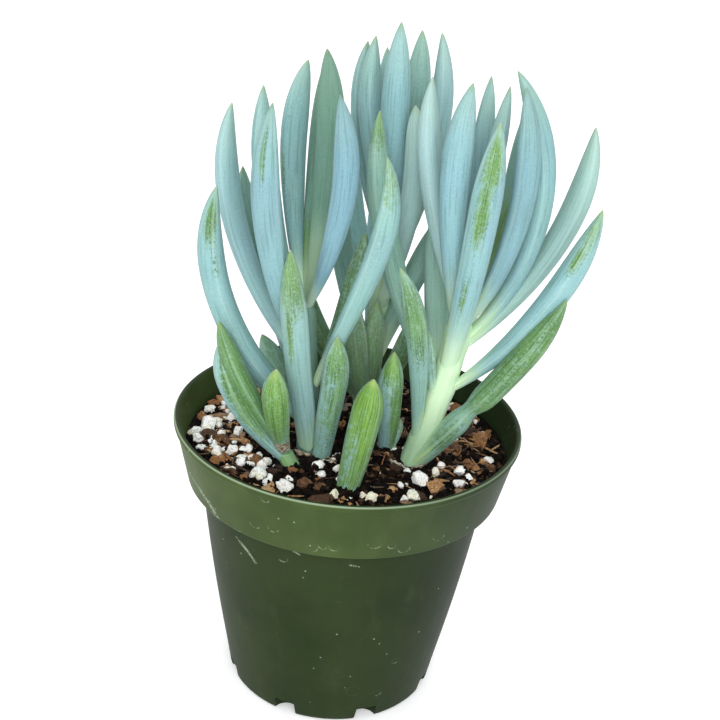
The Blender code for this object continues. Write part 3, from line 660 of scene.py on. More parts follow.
def pot_finish(paint, here):
    """Moulded plastic with a dried run of hard water at the left, crescents and rings where drops
    dried, specks and faint turning lines."""
    x, y, z = paint.parts(here)
    cloud = paint.noise(here, 0.030)
    fine = paint.noise(here, 0.9, 4.0, 0.7)
    haze = paint.noise(paint.stretch(here, (1.0, 1.0, 0.35)), 0.12, 4.0, 0.65)
    broken = paint.noise(here, 0.9, 3.0, 0.6)
    scratch = paint.noise(paint.stretch(here, (0.25, 0.25, 3.0)), 1.2, 2.0)
    in_front = 1.0 - y.rise(-22.0, -18.0)

    def ring(middle_x, middle_z, radius):
        """A dried drop: a ring about that place on the front, strongest on its lower side."""
        aside, over = x - middle_x, z - middle_z
        edge = 1.0 - (across(aside, over) - radius + (fine - 0.5) * 0.5).size().rise(0.02, 0.36)
        low_side = 0.04 + 0.96 * over.rise(0.3 * radius, -0.6 * radius)
        return edge * low_side * broken.rise(0.42, 0.58) * 0.45

    def run(start_x, start_z, end_x, end_z, half_width):
        """A dried run: a ragged streak between two places on the front."""
        long_x, long_z = end_x - start_x, end_z - start_z
        square = long_x**2 + long_z**2
        along = ((x - start_x) * (long_x / square) + (z - start_z) * (long_z / square)).clip()
        aside, over = x - start_x - along * long_x, z - start_z - along * long_z
        reach = across(aside, over) + (broken - 0.5) * 2.2
        return (1.0 - reach.rise(0.2 * half_width, half_width)) * fine.rise(0.38, 0.60)

    first, *others = [run(*p) for p in WATER_RUNS] + [ring(*p) for p in WATER_RINGS]
    for mark in others:
        first = first.math("MAXIMUM", mark)
    marks = first * in_front
    near = paint.cells(here, 0.36)
    specks = (1.0 - near.rise(0.05, 0.14)) * paint.chances(near)[2].rise(0.90, 0.92)
    far = paint.cells(here, 0.11)
    chance, size, _ = paint.chances(far)
    rings = 1.0 - (far - 0.16 - size * 0.1).size().rise(0.0, 0.035)
    rings = rings * broken.rise(0.46, 0.60) * chance.rise(0.72, 0.74) * (1.0 - in_front * 0.8)

    # Painted shade: the right side is darkened, as if lit from the left.
    right = x.rise(-5.0, 48.0)
    # Painted shade on the body under the band.
    below = 1.0 - z.rise(STEP_HEIGHT - 2.5, STEP_HEIGHT + 0.5)
    # Painted shade on the top of the lip, and a painted highlight along its outer edge that fades
    # to the right.
    top = z.rise(RIM_HEIGHT - 0.7, RIM_HEIGHT - 0.2)
    lip = top * across(x, y).rise(RIM_RADIUS - 0.45, RIM_RADIUS - 0.1)
    colour = paint.coats(
        paint.colours.pot_deep,
        (cloud.rise(0.35, 0.65), paint.colours.pot_light),
        (right * 0.82, POT_SHADOW),
        (below * 0.72, PAINTED_SHADE_UNDER_BAND),
        (top * 0.80, PAINTED_SHADE_LIP_TOP),
        (lip * (0.85 - right * 0.40), PAINTED_HIGHLIGHT_LIP),
        (haze.rise(0.50, 0.78) * 0.07, POT_HAZE),
        (scratch.rise(0.62, 0.75) * 0.05, POT_SCRATCH),
        ((marks * 0.62 + rings * 0.16 + specks * 0.50).clip(), LIME),
    )
    normal = paint.bump(fine * 0.5 + marks * 0.8 + scratch * 0.3, 0.00008, 0.5)
    roughness = 0.42 + haze * 0.16 + marks * 0.25
    paint.finish(colour, roughness, normal=normal, specular_ior_level=0.08)


def soil_finish(paint, here):
    """Nearly black peat with brown crumbs and fine tan dust."""
    crumbs = paint.cells(here, 0.55)
    brown, tan, _ = paint.chances(crumbs)
    grit = paint.noise(here, 1.6, 5.0, 0.7)
    colour = paint.coats(
        PEAT_BLACK,
        (brown.rise(0.2, 0.9), paint.colours.soil_brown),
        (tan.rise(0.90, 0.95) * 0.6, PEAT_TAN),
        (grit.rise(0.68, 0.80) * 0.30, PEAT_GRIT),
        (paint.noise(here, 0.10).rise(0.55, 0.75) * 0.25, PEAT_PATCH),
    )
    normal = paint.bump(grit * 0.8 - crumbs * 0.9, 0.0008, 0.8)
    paint.finish(colour, 0.70 + grit * 0.25, normal=normal, specular_ior_level=0.12)


def perlite_finish(paint, here):
    """White foamed rock: pitted and darker and browner in its pits, cream in places, with soil
    dust.
    """
    tone = paint.parts(paint.attribute("tone"))[0]
    pits = paint.cells(here, 1.5)
    cloud = paint.noise(here, 0.35)
    dirt = paint.noise(here, 0.8, 4.0, 0.7)
    colour = paint.coats(
        PERLITE_WHITE,
        (cloud.rise(0.48, 0.78), PERLITE_WARM),
        (tone.rise(0.55, 0.95) * 0.75, PERLITE_CREAM),
        (dirt.rise(0.56, 0.70) * 0.60, PERLITE_DUST),
        ((1.0 - pits.rise(0.04, 0.26)) * 0.25, PERLITE_PIT),
    )
    normal = paint.bump(pits.rise(0.0, 0.6) + cloud * 0.4, 0.0006, 0.6)
    paint.finish(colour, 0.85, normal=normal, specular_ior_level=0.3, subsurface_weight=0.10,
                 subsurface_scale=0.002)


def bark_finish(paint, here):
    """Conifer bark and splinters: layered brown, tan on broken faces, each bit of its own tone."""
    tone, grey, _ = paint.parts(paint.attribute("tone"))
    layers = paint.noise(paint.stretch(here, (1.0, 0.3, 1.6)), 1.3, 5.0, 0.72)
    grit = paint.noise(here, 2.0, 4.0, 0.7)
    colour = paint.coats(
        paint.ramp((tone * 0.97 + (layers - 0.5) * 1.2).clip(), BARK_BROWNS),
        (grey.rise(0.72, 0.95) * 0.5, BARK_GREY),
        (grit.rise(0.55, 0.68) * 0.65, BARK_CRACK),
    )
    normal = paint.bump(layers + grit * 0.4, 0.0006, 0.7)
    paint.finish(colour, 0.78, normal=normal, specular_ior_level=0.3)


def husk_finish(paint, here):
    """Papery remains of dead leaves: grey-tan, veined along and stained brown."""
    lines = paint.noise(paint.stretch(here, (2.2, 2.2, 0.35)), 1.3)
    colour = paint.coats(
        HUSK_GREY,
        (paint.parts(paint.attribute("tone"))[0], HUSK_TAN),
        (lines.rise(0.5, 0.7) * 0.4, HUSK_LINE),
        (paint.noise(here, 0.5).rise(0.55, 0.72) * 0.5, HUSK_STAIN),
    )
    paint.finish(colour, 0.8, normal=paint.bump(lines, 0.0004, 0.6), specular_ior_level=0.3)


def floor_finish(paint, here):
    """A plain pale floor with a barely seen mottle."""
    floor = paint.colours.floor
    colour = paint.coats(floor, (paint.noise(here, 0.01, 2.0), [0.985 * part for part in floor]))
    paint.finish(colour, 0.9, specular_ior_level=0.1, emission_color=(1, 1, 1),
                 emission_strength=0.28)


FINISHES = {
    "chalky_leaf": leaf_finish,
    "pot_plastic": pot_finish,
    "peat": soil_finish,
    "perlite_white": perlite_finish,
    "bark_brown": bark_finish,
    "dry_husk": husk_finish,
    "pale_floor": floor_finish,
}
# The materials made so far.
MADE = {}


def finish_named(name):
    """The material of that finish, made on its first use."""
    if name not in MADE:
        paint = Finish(name)
        FINISHES[name](paint, paint.place())
        MADE[name] = paint.material
    return MADE[name]


# Surfaces


class Surface(NamedTuple):
    """Points, faces of three and four corners, and values kept at the points."""

    points: np.ndarray
    quads: np.ndarray
    triangles: np.ndarray
    values: dict


def joined(surfaces):
    """One surface of all the given ones, which keep the same values."""
    starts = np.cumsum([0] + [len(s.points) for s in surfaces[:-1]])
    points = np.concatenate([s.points for s in surfaces])
    quads = np.concatenate([s.quads + start for s, start in zip(surfaces, starts)])
    triangles = np.concatenate([s.triangles + start for s, start in zip(surfaces, starts)])
    values = {key: np.concatenate([s.values[key] for s in surfaces]) for key in surfaces[0].values}
    return Surface(points, quads, triangles, values)


def tube(rings, values, start, end):
    """A closed surface over rings of points, each ring closed on itself, with a point at each end.
    values holds an array for every point of the rings; the end points take their ring's mean."""
    count, sides = rings.shape[:2]
    here = np.arange(sides)
    after = (here + 1) % sides
    low = np.arange(count - 1)[:, None] * sides
    quads = np.stack([low + here, low + after, low + sides + after, low + sides + here], -1)
    last = (count - 1) * sides
    first_fan = np.stack([after, here, np.full(sides, count * sides)], -1)
    last_fan = np.stack([last + here, last + after, np.full(sides, count * sides + 1)], -1)
    points = np.concatenate([rings.reshape(-1, 3), [start], [end]])
    kept = {}
    for key, value in values.items():
        flat = value.reshape(count * sides, -1)
        kept[key] = np.concatenate([flat, value[0].mean(0)[None], value[-1].mean(0)[None]])
    return Surface(points, quads.reshape(-1, 4), np.concatenate([first_fan, last_fan]), kept)


def grown(rings, values, centres, way):
    """A stem's or leaf's tube from one end of its centreline to the other, without the last ring,
    which has closed to a point. The values are written as three parts each, which are spread over
    the rings; way -1 runs the rings backwards, for a section that turns the other way."""
    shape = rings.shape[:2]
    spread = {
        key: np.stack([np.broadcast_to(part, shape) for part in parts], -1)[:-1, ::way]
        for key, parts in values.items()
    }
    return tube(rings[:-1, ::way], spread, centres[0], centres[-1])


def round_steps(sides):
    """So many even turns in radians, from 0 to just under a whole turn."""
    return 2 * pi * np.arange(sides) / sides


def circle(turn):
    """Cosine, sine and 0 of each turn."""
    return np.stack([np.cos(turn), np.sin(turn), 0 * turn], -1)


def mesh_of(name, surface):
    """Writes a surface, in millimetres, into a smooth mesh in metres."""
    mesh = bpy.data.meshes.new(name)
    corners = np.concatenate([surface.quads.ravel(), surface.triangles.ravel()]).astype(np.int32)
    sizes = np.repeat([4, 3], [len(surface.quads), len(surface.triangles)])
    starts = np.concatenate([[0], np.cumsum(sizes)[:-1]])
    mesh.vertices.add(len(surface.points))
    mesh.vertices.foreach_set("co", (surface.points * MM).astype(np.float32).ravel())
    mesh.loops.add(len(corners))
    mesh.loops.foreach_set("vertex_index", corners)
    mesh.polygons.add(len(sizes))
    mesh.polygons.foreach_set("loop_start", starts.astype(np.int32))
    mesh.polygons.foreach_set("loop_total", sizes.astype(np.int32))
    for key, value in surface.values.items():
        kept = mesh.attributes.new(key, "FLOAT_VECTOR", "POINT")
        kept.data.foreach_set("vector", value.astype(np.float32).ravel())
    mesh.update(calc_edges=True)
    mesh.validate()
    mesh.shade_smooth()
    return mesh


def placed(name, data):
    """A new object of that name in the scene."""
    made = bpy.data.objects.new(name, data)
    bpy.context.scene.collection.objects.link(made)
    return made


def add_piece(name, shape, finish, slot, *nodes):
    """Adds a piece of the object, of a surface or a mesh. It rides on the one body and stands for
    the named nodes."""
    mesh = mesh_of(name, shape) if isinstance(shape, Surface) else shape
    piece = placed(name, mesh)
    mesh.materials.append(finish_named(finish))
    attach(piece, BODY)
    if nodes:
        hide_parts(*nodes)


def wobble(points, seed, longest, waves=9):
    """A smooth random value of about -1 to 1 at each point: the sum of sine waves in random
    directions over the root of their number. Their lengths run from the longest down to a third
    of it."""
    draw = np.random.default_rng(seed)
    way = draw.normal(size=(waves, 3))
    steepness = 2 * pi / longest * draw.uniform(1, 3, (waves, 1))
    way *= steepness / np.linalg.norm(way, axis=1, keepdims=True)
    return np.sin(points @ way.T + draw.uniform(0, 2 * pi, waves)).sum(-1) / np.sqrt(waves)


# Leaves and stems


def stem_centre(stem, height):
    """Points on the curve through the stem's three centre points, at heights over the ground: each
    centre point times a quadratic that is 1 at its own height and 0 at those of the others."""
    points = np.array(stem[:3], float)
    height = np.atleast_1d(height).astype(float)
    centre = 0.0
    for i in range(3):
        own, one, other = points[[i, (i + 1) % 3, (i + 2) % 3], 2]
        share = (height - one) * (height - other) / ((own - one) * (own - other))
        centre = centre + np.outer(share, points[i])
    return centre


def leaf_width(share, leaf):
    """Width along the leaf as a share of its greatest: it swells from the neck to the widest place
    by a quarter sine and closes to the tip by a rounded power law. A pinch narrows one place."""
    rise = np.sin(pi / 2 * np.clip(share / WIDEST_AT, 0, 1)) ** 1.3
    fall = np.clip((share - WIDEST_AT) / (1 - WIDEST_AT), 0, 1)
    width = (leaf.neck + (1 - leaf.neck) * rise) * (1 - fall**leaf.taper) ** 0.85
    if leaf.pinch:
        width = width * (1 - PINCH_DEPTH * np.exp(-(((share - leaf.pinch) / PINCH_SPREAD) ** 2)))
    return width


def leaf_lean(share, leaf):
    """The centreline's lean from the upright, in radians, at shares of its length."""
    return np.radians(leaf.lean + (leaf.tip_lean - leaf.lean) * share**leaf.bend)


def leaf_path(share, leaf):
    """How far out and how far up from its root the leaf's centreline runs, by adding up short
    straight steps at the lean in the middle of each."""
    ends = np.linspace(0, 1, PATH_STEPS + 1)
    lean = leaf_lean((ends[1:] + ends[:-1]) / 2, leaf)
    step = leaf.length / PATH_STEPS
    out = np.concatenate([[0], np.cumsum(step * np.sin(lean))])
    up = np.concatenate([[0], np.cumsum(step * np.cos(lean))])
    return np.interp(share, ends, out), np.interp(share, ends, up)


def rub_cover(leaf, share, turn, front):
    """How far the bloom is rubbed off: a soft ellipse on the leaf for each of its rubbed places."""
    cover = np.zeros(np.broadcast(share, turn).shape)
    for place, around, half_length, spread, depth in leaf.rubs:
        away = (np.degrees(turn) - front - around + 180) % 360 - 180
        reach = ((share - place) / half_length) ** 2 + (away / spread) ** 2
        cover = np.maximum(cover, depth * np.exp(-(reach**1.5) * 0.7))
    return cover


def leaf_surface(stem, leaf, number, settings):
    """A leaf: its centreline bends in an upright plane from its lean at the root to its lean at
    the tip, with a slight sway. A D-shaped section, rounder outside than inside, is carried along
    it, and the tip hooks a little to the inner side and ends in a small point."""
    draw = np.random.default_rng(number)
    share = 0.5 * (1 - np.cos(pi * np.linspace(0, 1, settings.leaf_rings) ** 1.1))[:, None]
    turn = round_steps(settings.leaf_sides)[None, :]
    heading = radians(leaf.heading)
    lean = leaf_lean(share, leaf)
    away = np.array([cos(heading), sin(heading), 0.0])
    side = np.array([-sin(heading), cos(heading), 0.0])
    upright = np.array([0.0, 0.0, 1.0])
    out, up = leaf_path(share, leaf)
    outward = np.cos(lean) * away - np.sin(lean) * upright
    hook = TIP_HOOK * leaf.width * np.clip(2 * share - 1, 0, 1) ** 2
    sway = 0.25 * np.sin(share * draw.uniform(5, 9) + draw.uniform(0, 6))
    sway = sway * np.clip(4 * share * (1 - share), 0, 1)
    root = stem_centre(stem, SOIL_TOP + leaf.height)[0] + leaf.offset * away
    centre = root + out * away + up * upright - hook * outward + sway * side
    width = leaf.width * leaf_width(share, leaf)
    width = width * (0.975 + 0.012 * np.sin(share * draw.uniform(7, 12) + draw.uniform(0, 6)))
    outer = OUTER_THICKNESS * np.abs(np.sin(turn)) ** 0.92
    inner = -INNER_THICKNESS * np.abs(np.sin(turn)) ** 0.85
    through = np.where(np.sin(turn) > 0, outer, inner)
    rings = centre[:, None, :] + (width * (0.5 * np.cos(turn)))[..., None] * side
    rings = rings + (width * through)[..., None] * outward[:, None, :]

    front = np.degrees(np.arctan2(-away[1] * cos(radians(leaf.lean)), -side[1]))
    girth = LEAF_GIRTH * leaf.width
    near = rings - stem_centre(stem, rings[..., 2].ravel()).reshape(rings.shape)
    near = np.linalg.norm(near, axis=-1) - stem.foot_radius
    stalk = np.clip(1 - near / (stem.reach if leaf.height > LOW_ROOT else LOW_REACH), 0, 1) ** 1.3
    stalk = stalk * np.clip(1.6 - share * 4, 0, 1) * (stem.foot_radius > SPROUT_RADIUS)
    scar = leaf.scar * np.clip((0.24 - share) / 0.08, 0, 1) * np.clip((share - 0.04) / 0.05, 0, 1)
    if leaf.pinch:
        scar = 0.55 * np.exp(-(((share - leaf.pinch) / 0.010) ** 2))
    along = share * leaf.length
    values = {
        "grain": [girth * np.cos(turn), girth * np.sin(turn), along + LEAF_STEP * number],
        "sheet": [girth * np.minimum(turn, 2 * pi - turn) + SHEET_STEP * number, along, 0.0],
        "place": [(1 - share) * leaf.length, -np.sin(turn), scar],
        "wear": [rub_cover(leaf, share, turn, front), leaf.bloom, leaf.sage],
        "depth": [leaf.tone_and_painted_shade, stalk, leaf.young],
    }
    surface = grown(rings, values, centre, -1)
    surface.values["place"][-1, 0] = 0.0
    return surface


def stem_surface(stem, leaves, number):
    """A tapered stem along its centre curve, swollen at each leaf's root and grooved lightly."""
    heights = np.linspace(stem.foot[2], stem.top[2], STEM_RINGS)
    turn = round_steps(STEM_SIDES)[None, :]
    share = ((heights - heights[0]) / (heights[-1] - heights[0]))[:, None]
    radius = stem.foot_radius + (stem.top_radius - stem.foot_radius) * share
    swell = 0.0
    for leaf in leaves:
        rise = (heights[:, None] - SOIL_TOP - leaf.height - 2) / 3.5
        facing = np.cos(turn - radians(leaf.heading))
        swell = np.maximum(swell, np.exp(-(rise**2)) * np.clip(facing, 0, 1) ** 2)
    grooves = 0.10 * np.sin(turn * 9 + share * 4)
    radius = (radius + 0.5 * swell + grooves) * np.clip((1.0 - share) * 12, 0, 1) ** 0.5
    centres = stem_centre(stem, heights)
    rings = centres[:, None, :] + radius[..., None] * circle(turn)
    up = heights[:, None]
    # A stem is far from any tip, and has its own colour all over, less so where it is young.
    values = {
        "grain": [STEM_GIRTH * np.cos(turn), STEM_GIRTH * np.sin(turn), up + STEM_STEP * number],
        "sheet": [STEM_GIRTH * np.minimum(turn, 2 * pi - turn), up, 0.0],
        "place": [60.0, 0.5, 0.0],
        "wear": [stem.young, 0.95, 0.6],
        "depth": [stem.tone_and_painted_shade, 0.95 - stem.young * 0.75, stem.young],
    }
    return grown(rings, values, centres, 1)


# Pot


def body_radius(height):
    """Outer radius of the tapered body, which swells a little at half height."""
    share = height / STEP_HEIGHT
    return FOOT_RADIUS + (BODY_TOP_RADIUS - FOOT_RADIUS) * share + BODY_SWELL * np.sin(pi * share)


def band_radius(height):
    """Outer radius of the rim band, which opens upwards."""
    return BAND_LOW_RADIUS + (RIM_RADIUS - BAND_LOW_RADIUS) * (height - STEP_HEIGHT) / BAND_HEIGHT


def rounded(corners, steps=5):
    """The outline through corners (radius, height, rounding): each corner with a rounding is cut
    back that far along both of its sides and replaced by a quadratic curve."""
    corners = [np.array(c, float) for c in corners]
    outline = [corners[0][:2]]
    for before, here, after in zip(corners, corners[1:], corners[2:]):
        if here[2] == 0:
            outline.append(here[:2])
            continue
        back = before[:2] - here[:2]
        on = after[:2] - here[:2]
        start = here[:2] + back * min(here[2] / np.linalg.norm(back), 0.45)
        end = here[:2] + on * min(here[2] / np.linalg.norm(on), 0.45)
        t = np.linspace(0, 1, steps)[:, None]
        outline += list((1 - t) ** 2 * start + 2 * t * (1 - t) * here[:2] + t**2 * end)
    outline.append(corners[-1][:2])
    return np.array(outline)


def pot_outline():
    """Half section of the pot, from the middle of its floor up the inside and down the outside."""
    inside = [(0, FLOOR_TOP, 0), (body_radius(FLOOR_TOP) - WALL, FLOOR_TOP, 1.5)]
    inside += [(body_radius(h) - WALL, h, 0) for h in (24, 42, 60)]
    inside += [(body_radius(STEP_HEIGHT - 1) - WALL, STEP_HEIGHT - 1, 1.2)]
    inside += [(band_radius(STEP_HEIGHT + 1.6) - WALL, STEP_HEIGHT + 1.6, 1.0)]
    lip = [(band_radius(RIM_HEIGHT - 3) - WALL, RIM_HEIGHT - 3, 0.8)]
    lip += [(RIM_RADIUS - 1.5, RIM_HEIGHT, 0.9), (RIM_RADIUS + 0.2, RIM_HEIGHT, 0.8)]
    lip += [(RIM_RADIUS + 0.2, RIM_HEIGHT - 2.0, 0.5)]
    lip += [(band_radius(RIM_HEIGHT - 2.7), RIM_HEIGHT - 2.7, 0.3)]
    band = [(BAND_LOW_RADIUS, STEP_HEIGHT, 0.9), (BODY_TOP_RADIUS, STEP_HEIGHT, 0.7)]
    body = [(body_radius(h), h, 0) for h in (68, 60, 52, 44, 36, 28, 20, 12)]
    foot = [(body_radius(1.0), 0.0, 2.2), (FOOT_RADIUS - 6, 0, 0.4)]
    foot += [(FOOT_RADIUS - 7, CHANNEL_DEPTH, 0.4), (BOSS_RADIUS + 1, CHANNEL_DEPTH, 0.4)]
    foot += [(BOSS_RADIUS, 0, 0.3), (0, 0, 0)]
    return rounded(inside + lip + band + body + foot)


def turned(outline, sides):
    """A surface of revolution: the outline turned about Z, its two ends on the axis."""
    reach, height = outline[1:-1].T
    ring = circle(round_steps(sides))[::-1]
    rings = reach[:, None, None] * ring + height[:, None, None] * np.array([0.0, 0.0, 1.0])
    return tube(rings, {}, (0.0, 0.0, outline[0, 1]), (0.0, 0.0, outline[-1, 1]))


def drain_cutter(angle):
    """An upright round cutter across the pot's bottom corner."""
    inset = FOOT_RADIUS - DRAIN_INSET
    height = DRAIN_HEIGHT - CUTTER_LENGTH / 2
    centre = Vector((inset * cos(angle), inset * sin(angle), height)) * MM
    shape = bmesh.new()
    bmesh.ops.create_cone(shape, cap_ends=True, segments=DRAIN_SIDES, radius1=DRAIN_RADIUS * MM,
                          radius2=DRAIN_RADIUS * MM, depth=CUTTER_LENGTH * MM,
                          matrix=Matrix.Translation(centre))
    mesh = bpy.data.meshes.new("drain")
    shape.to_mesh(mesh)
    shape.free()
    return mesh


def cut(mesh, cutters):
    """The mesh with every cutter taken out of it."""
    blank = placed("blank", mesh)
    helpers = [placed("cutter", cutter) for cutter in cutters]
    for helper in helpers:
        change = blank.modifiers.new("cut", "BOOLEAN")
        change.operation = "DIFFERENCE"
        change.object = helper
    graph = bpy.context.evaluated_depsgraph_get()
    done = bpy.data.meshes.new_from_object(blank.evaluated_get(graph))
    for thing in [blank, *helpers]:
        bpy.data.objects.remove(thing, do_unlink=True)
    return done


# Soil


def soil_relief(x, y):
    """Height of the loose top over its level, as on the part: three crossing waves, mounded to the
    middle and flat at the wall."""
    distance = np.hypot(x, y) / BAND_LOW_RADIUS
    waves = np.sin(0.31 * x + 0.8) * np.cos(0.27 * y) + 0.6 * np.sin(0.17 * x - 0.42 * y + 1.3)
    return (RELIEF * waves + 0.8 * (1 - distance)) * np.clip(1.6 * (1.02 - distance), 0, 1)


def lumps(x, y, seed):
    """Crumbly height: four layers of waves, each half as long and high as the one before."""
    points = np.stack([x, y, 0 * x], -1)
    total = 0
    for layer in range(4):
        size = 0.5**layer
        total = total + size * np.abs(wobble(points, seed + layer, 7.0 * size))
    return total


def soil_surface():
    """The soil's top as a fine round grid that follows the relief, closed by its side and floor."""
    share = np.linspace(0, 1, TOP_RINGS)[1:, None]
    ring = circle(-round_steps(TOP_SIDES))
    reach = (band_radius(SOIL_TOP) - WALL - CLEARANCE) * share
    x, y = reach * ring[:, 0], reach * ring[:, 1]
    crumbly = (0.9 * lumps(x, y, LUMP_SEED) - 0.8) * np.clip((1 - share) * 25, 0.25, 1)
    top = np.stack([x, y, SOIL_TOP + soil_relief(x, y) + crumbly], -1)
    walls = [(band_radius(STEP_HEIGHT + 1.6), STEP_HEIGHT + 1.9)]
    walls += [(body_radius(h), h + CLEARANCE) for h in (STEP_HEIGHT - 1, 40, FLOOR_TOP + 1.2)]
    side = [(r - WALL - CLEARANCE) * ring + np.array([0, 0, h]) for r, h in walls]
    rings = np.concatenate([top, np.array(side)])
    return tube(rings, {}, (0, 0, SOIL_TOP + 0.8), (0, 0, FLOOR_TOP + CLEARANCE))


def ball(level):
    """Points and triangles of a ball of radius 1: twenty faces at level 1, and four times as many
    with each level more."""
    shape = bmesh.new()
    bmesh.ops.create_icosphere(shape, subdivisions=level, radius=1)
    points = np.array([v.co for v in shape.verts])
    triangles = np.array([[v.index for v in f.verts] for f in shape.faces])
    shape.free()
    return points, triangles


def turns(draw, count, tilt):
    """Random rotations: any turn about the upright, and a tilt of up to so many radians."""
    spin, lean = draw.uniform(0, 2 * pi, count), draw.uniform(-tilt, tilt, count)
    a, b, c, d = np.cos(spin), np.sin(spin), np.cos(lean), np.sin(lean)
    zero = 0 * a
    about = np.array([[a, -b, zero], [b, a, zero], [zero, zero, zero + 1]])
    over = np.array([[zero + 1, zero, zero], [zero, c, -d], [zero, d, c]])
    return np.einsum("ijn,jkn->nik", about, over)


def pebbles(places, sizes, kind, tones=None):
    """Rough lumps at the places (x, y): balls pushed in and out by waves, planed off by random
    cuts, stretched, turned at random and sunk by a share of their height."""
    draw = np.random.default_rng(kind.seed)
    count = len(places)
    points, triangles = ball(kind.level)
    form = np.repeat(points[None], count, 0)
    offset = draw.uniform(-50, 50, (count, 1, 3))
    waves = wobble(form * 1.4 + offset, kind.seed, 2.2)
    form = form * (1 + kind.roughness * waves)[..., None]
    for _ in range(kind.cuts):
        way = draw.normal(size=(count, 1, 3))
        way = way / np.linalg.norm(way, axis=-1, keepdims=True)
        over = np.maximum((form * way).sum(-1) - draw.uniform(0.5, 0.85, (count, 1)), 0)
        form = form - over[..., None] * way
    stretch = draw.uniform(kind.low, kind.high, (count, 3)) * np.asarray(sizes)[:, None]
    form = form * stretch[:, None, :]
    form = np.einsum("nij,nvj->nvi", turns(draw, count, kind.tilt), form)
    low = form[..., 2].min(1)
    high = form[..., 2].max(1)
    x, y = np.asarray(places, float).T
    lift = SOIL_TOP + soil_relief(x, y) - low - (high - low) * kind.sink
    form = form + np.stack([x, y, lift], -1)[:, None, :]
    faces = (triangles[None] + (np.arange(count) * len(points))[:, None, None]).reshape(-1, 3)
    tone = draw.uniform(0, 1, (count, 3))
    if tones is not None:
        tone[:, 0] = tones
        tone[:, 1] = 0
    tone = np.repeat(tone, len(points), 0)
    return Surface(form.reshape(-1, 3), np.empty((0, 4), int), faces, {"tone": tone})


def scattered(draw, count, inner, outer):
    """Places drawn evenly over a ring of the soil."""
    distance = np.sqrt(draw.uniform(inner**2, outer**2, count))
    return distance[:, None] * circle(draw.uniform(0, 2 * pi, count))[:, :2]


def heaped(draw, count, middle, spread):
    """Places thick about a middle (x, y) and thinner away from it, kept on the soil."""
    places = np.array(middle) + draw.normal(size=(count, 2)) * np.array(spread)
    over = np.clip(np.hypot(*places.T) / draw.uniform(*HEAP_REACH, count), 1, None)
    return places / over[:, None]


def mostly_small(draw, count, least, span, power):
    """Half sizes: the least one plus a share of the span, which is a random value to a power."""
    return least + span * draw.uniform(0, 1, count) ** power


def fibres(draw, places, kind, sides=5, rings=12):
    """Splinters and roots: each is a tapered tube of flattened section along a bent line that lies
    on the soil, with one end lifted."""
    count = len(places)
    heading = draw.uniform(0, 2 * pi, count)
    ranges = (kind.length, kind.bend, kind.thick, kind.lift)
    length, bend, thick, lift = (draw.uniform(*span, count)[:, None] for span in ranges)
    s = np.linspace(-0.5, 0.5, rings)
    angle = heading[:, None] + bend * s
    x = places[:, :1] + np.cumsum(np.cos(angle) * (length / rings), 1)
    y = places[:, 1:] + np.cumsum(np.sin(angle) * (length / rings), 1)
    over = np.clip(np.hypot(x, y) / FIBRE_REACH, 1, None)
    x, y = x / over, y / over
    z = SOIL_TOP + soil_relief(x, y) + 0.7 + lift * (s + 0.3)
    line = np.stack([x, y, z], -1)
    side = np.stack([-np.sin(angle), np.cos(angle), 0 * angle], -1)
    size = (thick * (1 - 0.75 * np.abs(2 * s) ** 3))[:, :, None, None]
    section = circle(round_steps(sides))[::-1]
    ring = line[:, :, None, :] + size * section[:, :1] * side[:, :, None, :]
    ring = ring + kind.flatness * size * section[:, 1:2] * np.array([0, 0, 1.0])
    tone = draw.uniform(0.15, 1.0, (count, 3))
    return joined([
        tube(ring[i], {"tone": np.tile(tone[i], (rings, sides, 1))}, line[i, 0], line[i, -1])
        for i in range(count)
    ])


def husks(places, seed):
    """Papery remains at the stems' feet: thin shells, each an oval patch (x, y, height over the
    soil, heading, half width, height) bent round the upright and frayed along its top."""
    draw = np.random.default_rng(seed)
    share = np.linspace(-1, 1, HUSK_SIDES)
    rise = np.linspace(0, 1, HUSK_RINGS)[:, None]
    made = []
    for x, y, low, heading, wide, tall in places:
        turn = radians(heading) + share * 0.75
        fray = tall * (1 - 0.35 * share**2 - 0.25 * draw.uniform(0, 1, HUSK_SIDES))
        radius = wide * (1.0 + 0.35 * rise + 0.06 * np.sin(9 * turn + 5 * rise))
        foot = np.array([x, y, SOIL_TOP + low]) - wide * circle(np.radians(heading))
        upward = (fray * rise)[..., None] * np.array([0.0, 0.0, 1.0])
        shell = radius[..., None] * circle(turn) + upward + foot
        inner = shell - HUSK_THICKNESS * circle(turn)
        rings = np.concatenate([shell, inner[:, ::-1]], 1)
        values = {"tone": np.full((*rings.shape[:2], 3), draw.uniform(0, 1))}
        made.append(tube(rings, values, rings[0].mean(0), rings[-1].mean(0)))
    return joined(made)


# Stage


def camera_axes():
    """Right, up and forward of the camera: it looks from the front and above at the rim's middle,
    then is turned by the yaw about its up axis, the pitch about its right and the roll about its
    forward axis."""
    low = radians(CAMERA_ELEVATION)
    forward = Vector((0, cos(low), -sin(low)))
    right = Vector((1, 0, 0))
    axes = [right, right.cross(forward), forward]
    for angle, about in ((CAMERA_YAW, 1), (CAMERA_PITCH, 0), (CAMERA_ROLL, 2)):
        turn = Matrix.Rotation(radians(angle), 3, axes[about])
        axes = [turn @ axis for axis in axes]
    return axes


def add_camera():
    """The scene's camera, at its distance and elevation from the rim's middle."""
    low = radians(CAMERA_ELEVATION)
    away, over = CAMERA_DISTANCE * cos(low), CAMERA_DISTANCE * sin(low)
    right, up, forward = camera_axes()
    data = bpy.data.cameras.new("camera")
    data.lens = CAMERA_LENS
    data.sensor_width = SENSOR_WIDTH
    data.clip_start = CLIP_START
    camera = placed("camera", data)
    turn = Matrix((right, up, -forward)).transposed()
    place = Vector((0, -away, RIM_HEIGHT + over)) * MM
    camera.matrix_world = Matrix.Translation(place) @ turn.to_4x4()
    bpy.context.scene.camera = camera


